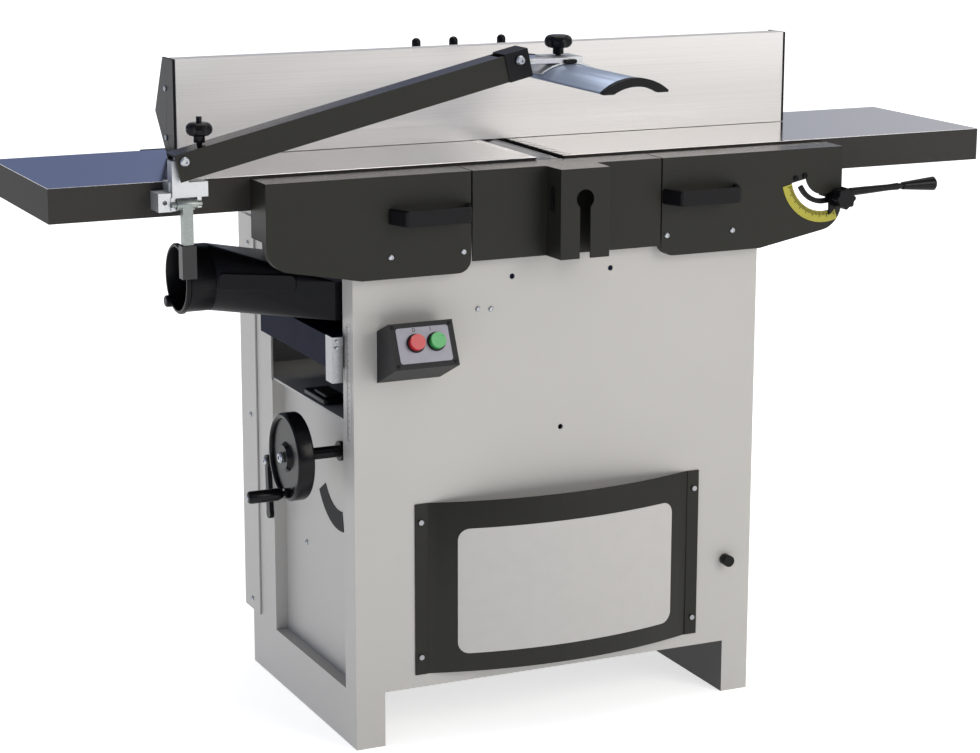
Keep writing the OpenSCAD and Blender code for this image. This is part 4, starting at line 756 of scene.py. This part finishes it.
# %% Depth scale
dial_tree, inlet = tree_with("dial_ticks", Seat="Geometry", Ticks="Int", Radius="Float", From="Float",
                             Sweep="Float", Tick="Vector", Centre="Vector", Finish="Material")
path = add(dial_tree, "GeometryNodeCurveArc", {"mode": "RADIUS"}, Resolution=64,
           Radius=inlet["Radius"], Start_Angle=inlet["From"], Sweep_Angle=inlet["Sweep"])
stops = add(dial_tree, "GeometryNodeCurveToPoints", {"mode": "COUNT"},
            Curve=path.outputs["Curve"], Count=inlet["Ticks"])
lie = add(dial_tree, "FunctionNodeAlignRotationToVector", {"axis": "X"},
          Vector=stops.outputs["Tangent"])
bar = add(dial_tree, "GeometryNodeMeshCube", Size=inlet["Tick"])
ticks = add(dial_tree, "GeometryNodeInstanceOnPoints", Points=stops.outputs["Points"],
            Instance=bar.outputs["Mesh"], Rotation=lie.outputs["Rotation"])
stood = add(dial_tree, "GeometryNodeTransform", Geometry=ticks.outputs["Instances"],
            Translation=inlet["Centre"], Rotation=(math.pi / 2, 0, 0))
end_tree(dial_tree, stood.outputs["Geometry"], inlet["Finish"])

axle, scale_in, scale_out, scale_t = (440.0, 826.0), 59.5, 76.0, 0.8
scale_from, scale_to, scale_margin, tick_out, tick_w, tick_t = 193, 289, 3, 0.9, 1.1, 0.3
angles = [math.radians(a) for a in range(scale_from, scale_to + 1, 2)]
edges = [[(x, cover_face - SEAT, z) for x, z in arc(axle, r, angles)] for r in (scale_in, scale_out)]
face = bmesh.new()
band(face, *edges, (0, -scale_t, 0))
keep("depth_scale", face, "right_carrier", yellow_film)
for name, count, radius, length in (("depth_ticks_fine", 41, 63.0, 5.0),
                                    ("depth_ticks_long", 9, 64.5, 8.0)):
    grown(name, dial_tree, bpy.data.meshes.new(name), {
        "Ticks": count, "Radius": radius * MM, "From": math.radians(scale_from + scale_margin),
        "Sweep": math.radians(scale_to - scale_from - 2 * scale_margin),
        "Tick": (tick_w * MM, length * MM, tick_t * MM),
        "Centre": (axle[0] * MM, (cover_face - tick_out) * MM, axle[1] * MM),
        "Finish": black_film}, "right_carrier")

# %% [markdown]
# Bed ruler
#
# The height of the bed is read on a ruler at the left post, a pale film with ticks every two
# millimetres and longer ones every ten. Its tree sets bars along a straight line.

# %% Bed ruler
ruler_tree, inlet = tree_with("ruler_ticks", Seat="Geometry", Ticks="Int", First="Vector",
                              Step="Vector", Tick="Vector", Finish="Material")
line = add(ruler_tree, "GeometryNodeMeshLine", Count=inlet["Ticks"],
           Start_Location=inlet["First"], Offset=inlet["Step"])
bar = add(ruler_tree, "GeometryNodeMeshCube", Size=inlet["Tick"])
ticks = add(ruler_tree, "GeometryNodeInstanceOnPoints", Points=line.outputs["Mesh"],
            Instance=bar.outputs["Mesh"])
end_tree(ruler_tree, ticks.outputs["Instances"], inlet["Finish"])


def along_line(name, count, first, step, size, finish):
    """Bars of a size on the frame, set upward by a step from a first place."""
    grown(name, ruler_tree, bpy.data.meshes.new(name), {
        "Ticks": count, "First": tuple(v * MM for v in first), "Step": (0, 0, step * MM),
        "Tick": tuple(v * MM for v in size), "Finish": finish}, "frame")


ruler_y, ruler_z, ruler_t, ruler_edge, ruler_zero = (-166, -150), (470, 648), 0.6, -150.5, 474.0
strip = bmesh.new()
outline = [(post_face - SEAT, y, z) for y, z in rounded(ruler_y, ruler_z, 1.5)]
prism(strip, outline, (-ruler_t, 0, 0))
keep("bed_ruler", strip, "frame", pale_film)
for name, count, step, width in (("ruler_ticks_fine", 86, 2.0, 5.0),
                                 ("ruler_ticks_long", 18, 10.0, 10.0)):
    first = (post_face - ruler_t - 0.15, ruler_edge - width / 2, ruler_zero)
    along_line(name, count, first, step, (tick_t, width, 0.5), black_film)

# %% [markdown]
# Height lever
#
# The lever is clamped by a moulded star knob that is screwed on its hub, and a tapered sleeve covers
# the steel rod up to the grip. The star is a flat outline with shallow lobes, pushed along the hub.
# The sleeve is turned round the rod.

# %% Height lever
hub, rod_way, rod_depth, rod_up = (465.0, 788.0), (108, 0, 4), -210.3, 8.0
star_front, star_t, star_r, lobes, lobe_high, star_points = -222.5, 17.0, 15.8, 8, 1.3, 64
spokes = [math.tau * i / star_points for i in range(star_points)]
rims = [(star_r + lobe_high * math.cos(lobes * a), a) for a in spokes]
outline = [(hub[0] + r * math.cos(a), star_front, hub[1] + r * math.sin(a)) for r, a in rims]
star = bmesh.new()
prism(star, outline, (0, star_t, 0))
keep("lever_star_knob", star, "height_lever", black_moulded_abs, bevel=1.2)
sleeve = bmesh.new()
taper = [(0, 12), (6.4, 12), (6.0, 40), (5.0, 82), (5.6, 100), (0, 100)]
turned(sleeve, taper, (hub[0], rod_depth, hub[1] + rod_up), rod_way)
keep("lever_sleeve", sleeve, "height_lever", black_moulded_abs)
print("lever has knob and sleeve")

# %% [markdown]
# Plates on the side of the cabinet
#
# A curved black plate below the handwheel shows the way to turn, left bare here. A rubber stop lies on
# the deck under the bed's pointer.

# %% Plates on the side
ring_centre, ring_in, ring_out, ring_t = (-62.0, 405.0), 64.0, 95.0, 0.8
angles = [math.pi - math.radians(a) for a in range(212, 283, 5)]
edges = [[(panel_face - SEAT, y, z) for y, z in arc(ring_centre, r, angles)]
         for r in (ring_in, ring_out)]
bend = bmesh.new()
band(bend, *edges, (-ring_t, 0, 0))
keep("turning_plate", bend, "frame", black_film)
stop = bmesh.new()
base = [(x, y, deck_top + SEAT) for x, y in rounded((-331, -290), (-48, 40), 5)]
prism(stop, base, (0, 0, 8))
pad = [(x, y, deck_top + 8) for x, y in rounded((-326, -300), (-40, 10), 4)]
prism(stop, pad, (0, 0, 6))
keep("deck_stop", stop, "frame", black_moulded_abs, bevel=1.5)
print("plate and stop laid on")

# %% [markdown]
# Back of the cabinet
#
# The belt box is a folded sheet with pressed louvres that let the motor breathe, and it is screwed on
# round its rim. Louvres stand in a row, so the tree of the ruler sets them: a rib for every louvre
# and, under it, a black strip of painted shade where its opening is.

# %% Back of the cabinet
tray_face, box_face = 305.0, 380.0
rim = [((x, tray_face, z), rear) for x in (-320, -125) for z in (130, 410, 690)]
rim += [((x, tray_face, 690), rear) for x in (30, 188)]
rim += [((x, box_face, z), rear) for x in (-98, 188) for z in (105, 330, 548)]
screws("rear_screws", "frame", rim, 4.5, 2.6)
louvres, louvre_x, louvre_low, louvre_step, louvre_w = 7, 45.0, 420.0, 14.0, 150.0
# the black strips under the ribs are painted shade in the louvre openings
for name, drop, size, finish, slot in (
        ("louvre_ribs", 0.0, (louvre_w, 4.0, 5.0), grey_powder_coat, "grey_paint"),
        ("louvre_slots", 4.0, (louvre_w - 6, 0.6, 3.0), black_film, "black_plastic")):
    first = (louvre_x, box_face + size[1] / 2 + SEAT, louvre_low - drop)
    along_line(name, louvres, first, louvre_step, size, finish)

# %% [markdown]
# Dust hood
#
# The moulded hood has a long stiffening rib on its front, a clamp knob at the hose mouth and a bead
# round the mouth that keeps the hose from slipping off.

# %% Dust hood
along, away = Vector((149, -93, 0)).normalized(), Vector((-93, -149, 0)).normalized()
rib_root, rib_sunk, rib_t = Vector((-490, -31, 701)), 1.0, 3.5
outline = [rib_root + along * u + Vector((0, 0, w)) - away * rib_sunk
           for u, w in rounded((2, 118), (-13, 13), 9)]
rib = bmesh.new()
prism(rib, outline, away * rib_t)
keep("hood_rib", rib, "frame", black_moulded_abs, bevel=1.4)
mouth, knob_place, hose_way = (-536, 19, 700), (-528, 56, 660), (1, 0, 0)
bead = bmesh.new()
lip = [(47.6, 0.2), (51, 0.2), (52.6, 2), (52.6, 6), (51, 8), (49.0, 8), (47.6, 0.2)]
turned(bead, lip, mouth, hose_way, 48)
bmesh.ops.remove_doubles(bead, verts=bead.verts, dist=weld_gap)
keep("hose_bead", bead, "frame", black_moulded_abs)
grip = bmesh.new()
waist = [(0, -14), (7, -14), (9, -12), (9, -2), (7.5, 0), (5, 0.5), (5, 9), (8, 10), (8, 16), (0, 16)]
turned(grip, waist, knob_place, hose_way)
keep("hose_clamp_knob", grip, "frame", black_moulded_abs)
print("hood has rib, bead and clamp knob")

# %% [markdown]
# Guard arm and centre cover
#
# The pressed arm ends in a moulded cap that wraps its nose on three sides. It is drawn as a channel
# section in the arm's own slope and pushed along the arm, so the head can still swing inside it. A
# small clip lies on the saddle of the head, and a black film on the left cheek of the keyhole boss is
# painted shade of its slot.

# %% Guard arm and centre cover
arm_slope, arm_pivot = math.radians(13), Vector((-583, 0, 902.6))
slope = Vector((math.cos(arm_slope), 0, math.sin(arm_slope)))
above = Vector((-math.sin(arm_slope), 0, math.cos(arm_slope)))
cap_from, cap_l, cap_y, cap_z, cap_wall = 501.0, 38.0, (-181.0, -139.0), (-28.0, 14.0), 1.9
section = [(cap_y[0], cap_z[0]), (cap_y[0], cap_z[1]), (cap_y[1], cap_z[1]), (cap_y[1], cap_z[0]),
           (cap_y[1] - cap_wall, cap_z[0]), (cap_y[1] - cap_wall, cap_z[1] - cap_wall),
           (cap_y[0] + cap_wall, cap_z[1] - cap_wall), (cap_y[0] + cap_wall, cap_z[0])]
outline = [arm_pivot + slope * cap_from + above * w + Vector((0, y, 0)) for y, w in section]
shell = bmesh.new()
prism(shell, outline, slope * cap_l)
keep("arm_end_cap", shell, "guard_arm", black_moulded_abs, bevel=0.8)
clip = bmesh.new()
prism(clip, [(x, -176, z) for x, z in rounded((2, 22), (1011, 1017), 2)], (0, 10, 0))
keep("saddle_clip", clip, "guard_head", black_moulded_abs, bevel=0.6)
# a black film on the boss's left cheek: painted shade where its slot opens
cheek_x, cheek_y, cheek_lean = -37.2, -240.0, 0.05
outline = [(cheek_x - cheek_lean * (y - cheek_y), y, z)
           for y, z in rounded((-222, -213), (802, 838), 4)]
slot_shade_film = bmesh.new()
prism(slot_shade_film, outline, (-0.5, 0, 0))
keep("boss_slot_shade", slot_shade_film, "frame", black_film)
print("arm capped, clip and slot set")

# %% [markdown]
# Hand over
#
# The size of the dressed machine is kept beside the size of the solids, because finish and screws must
# not make the machine grow.

# %% Finish
size = {"cad": cad_box, "visual": [list(map(float, corner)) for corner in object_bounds()]}
print("sizes", size)
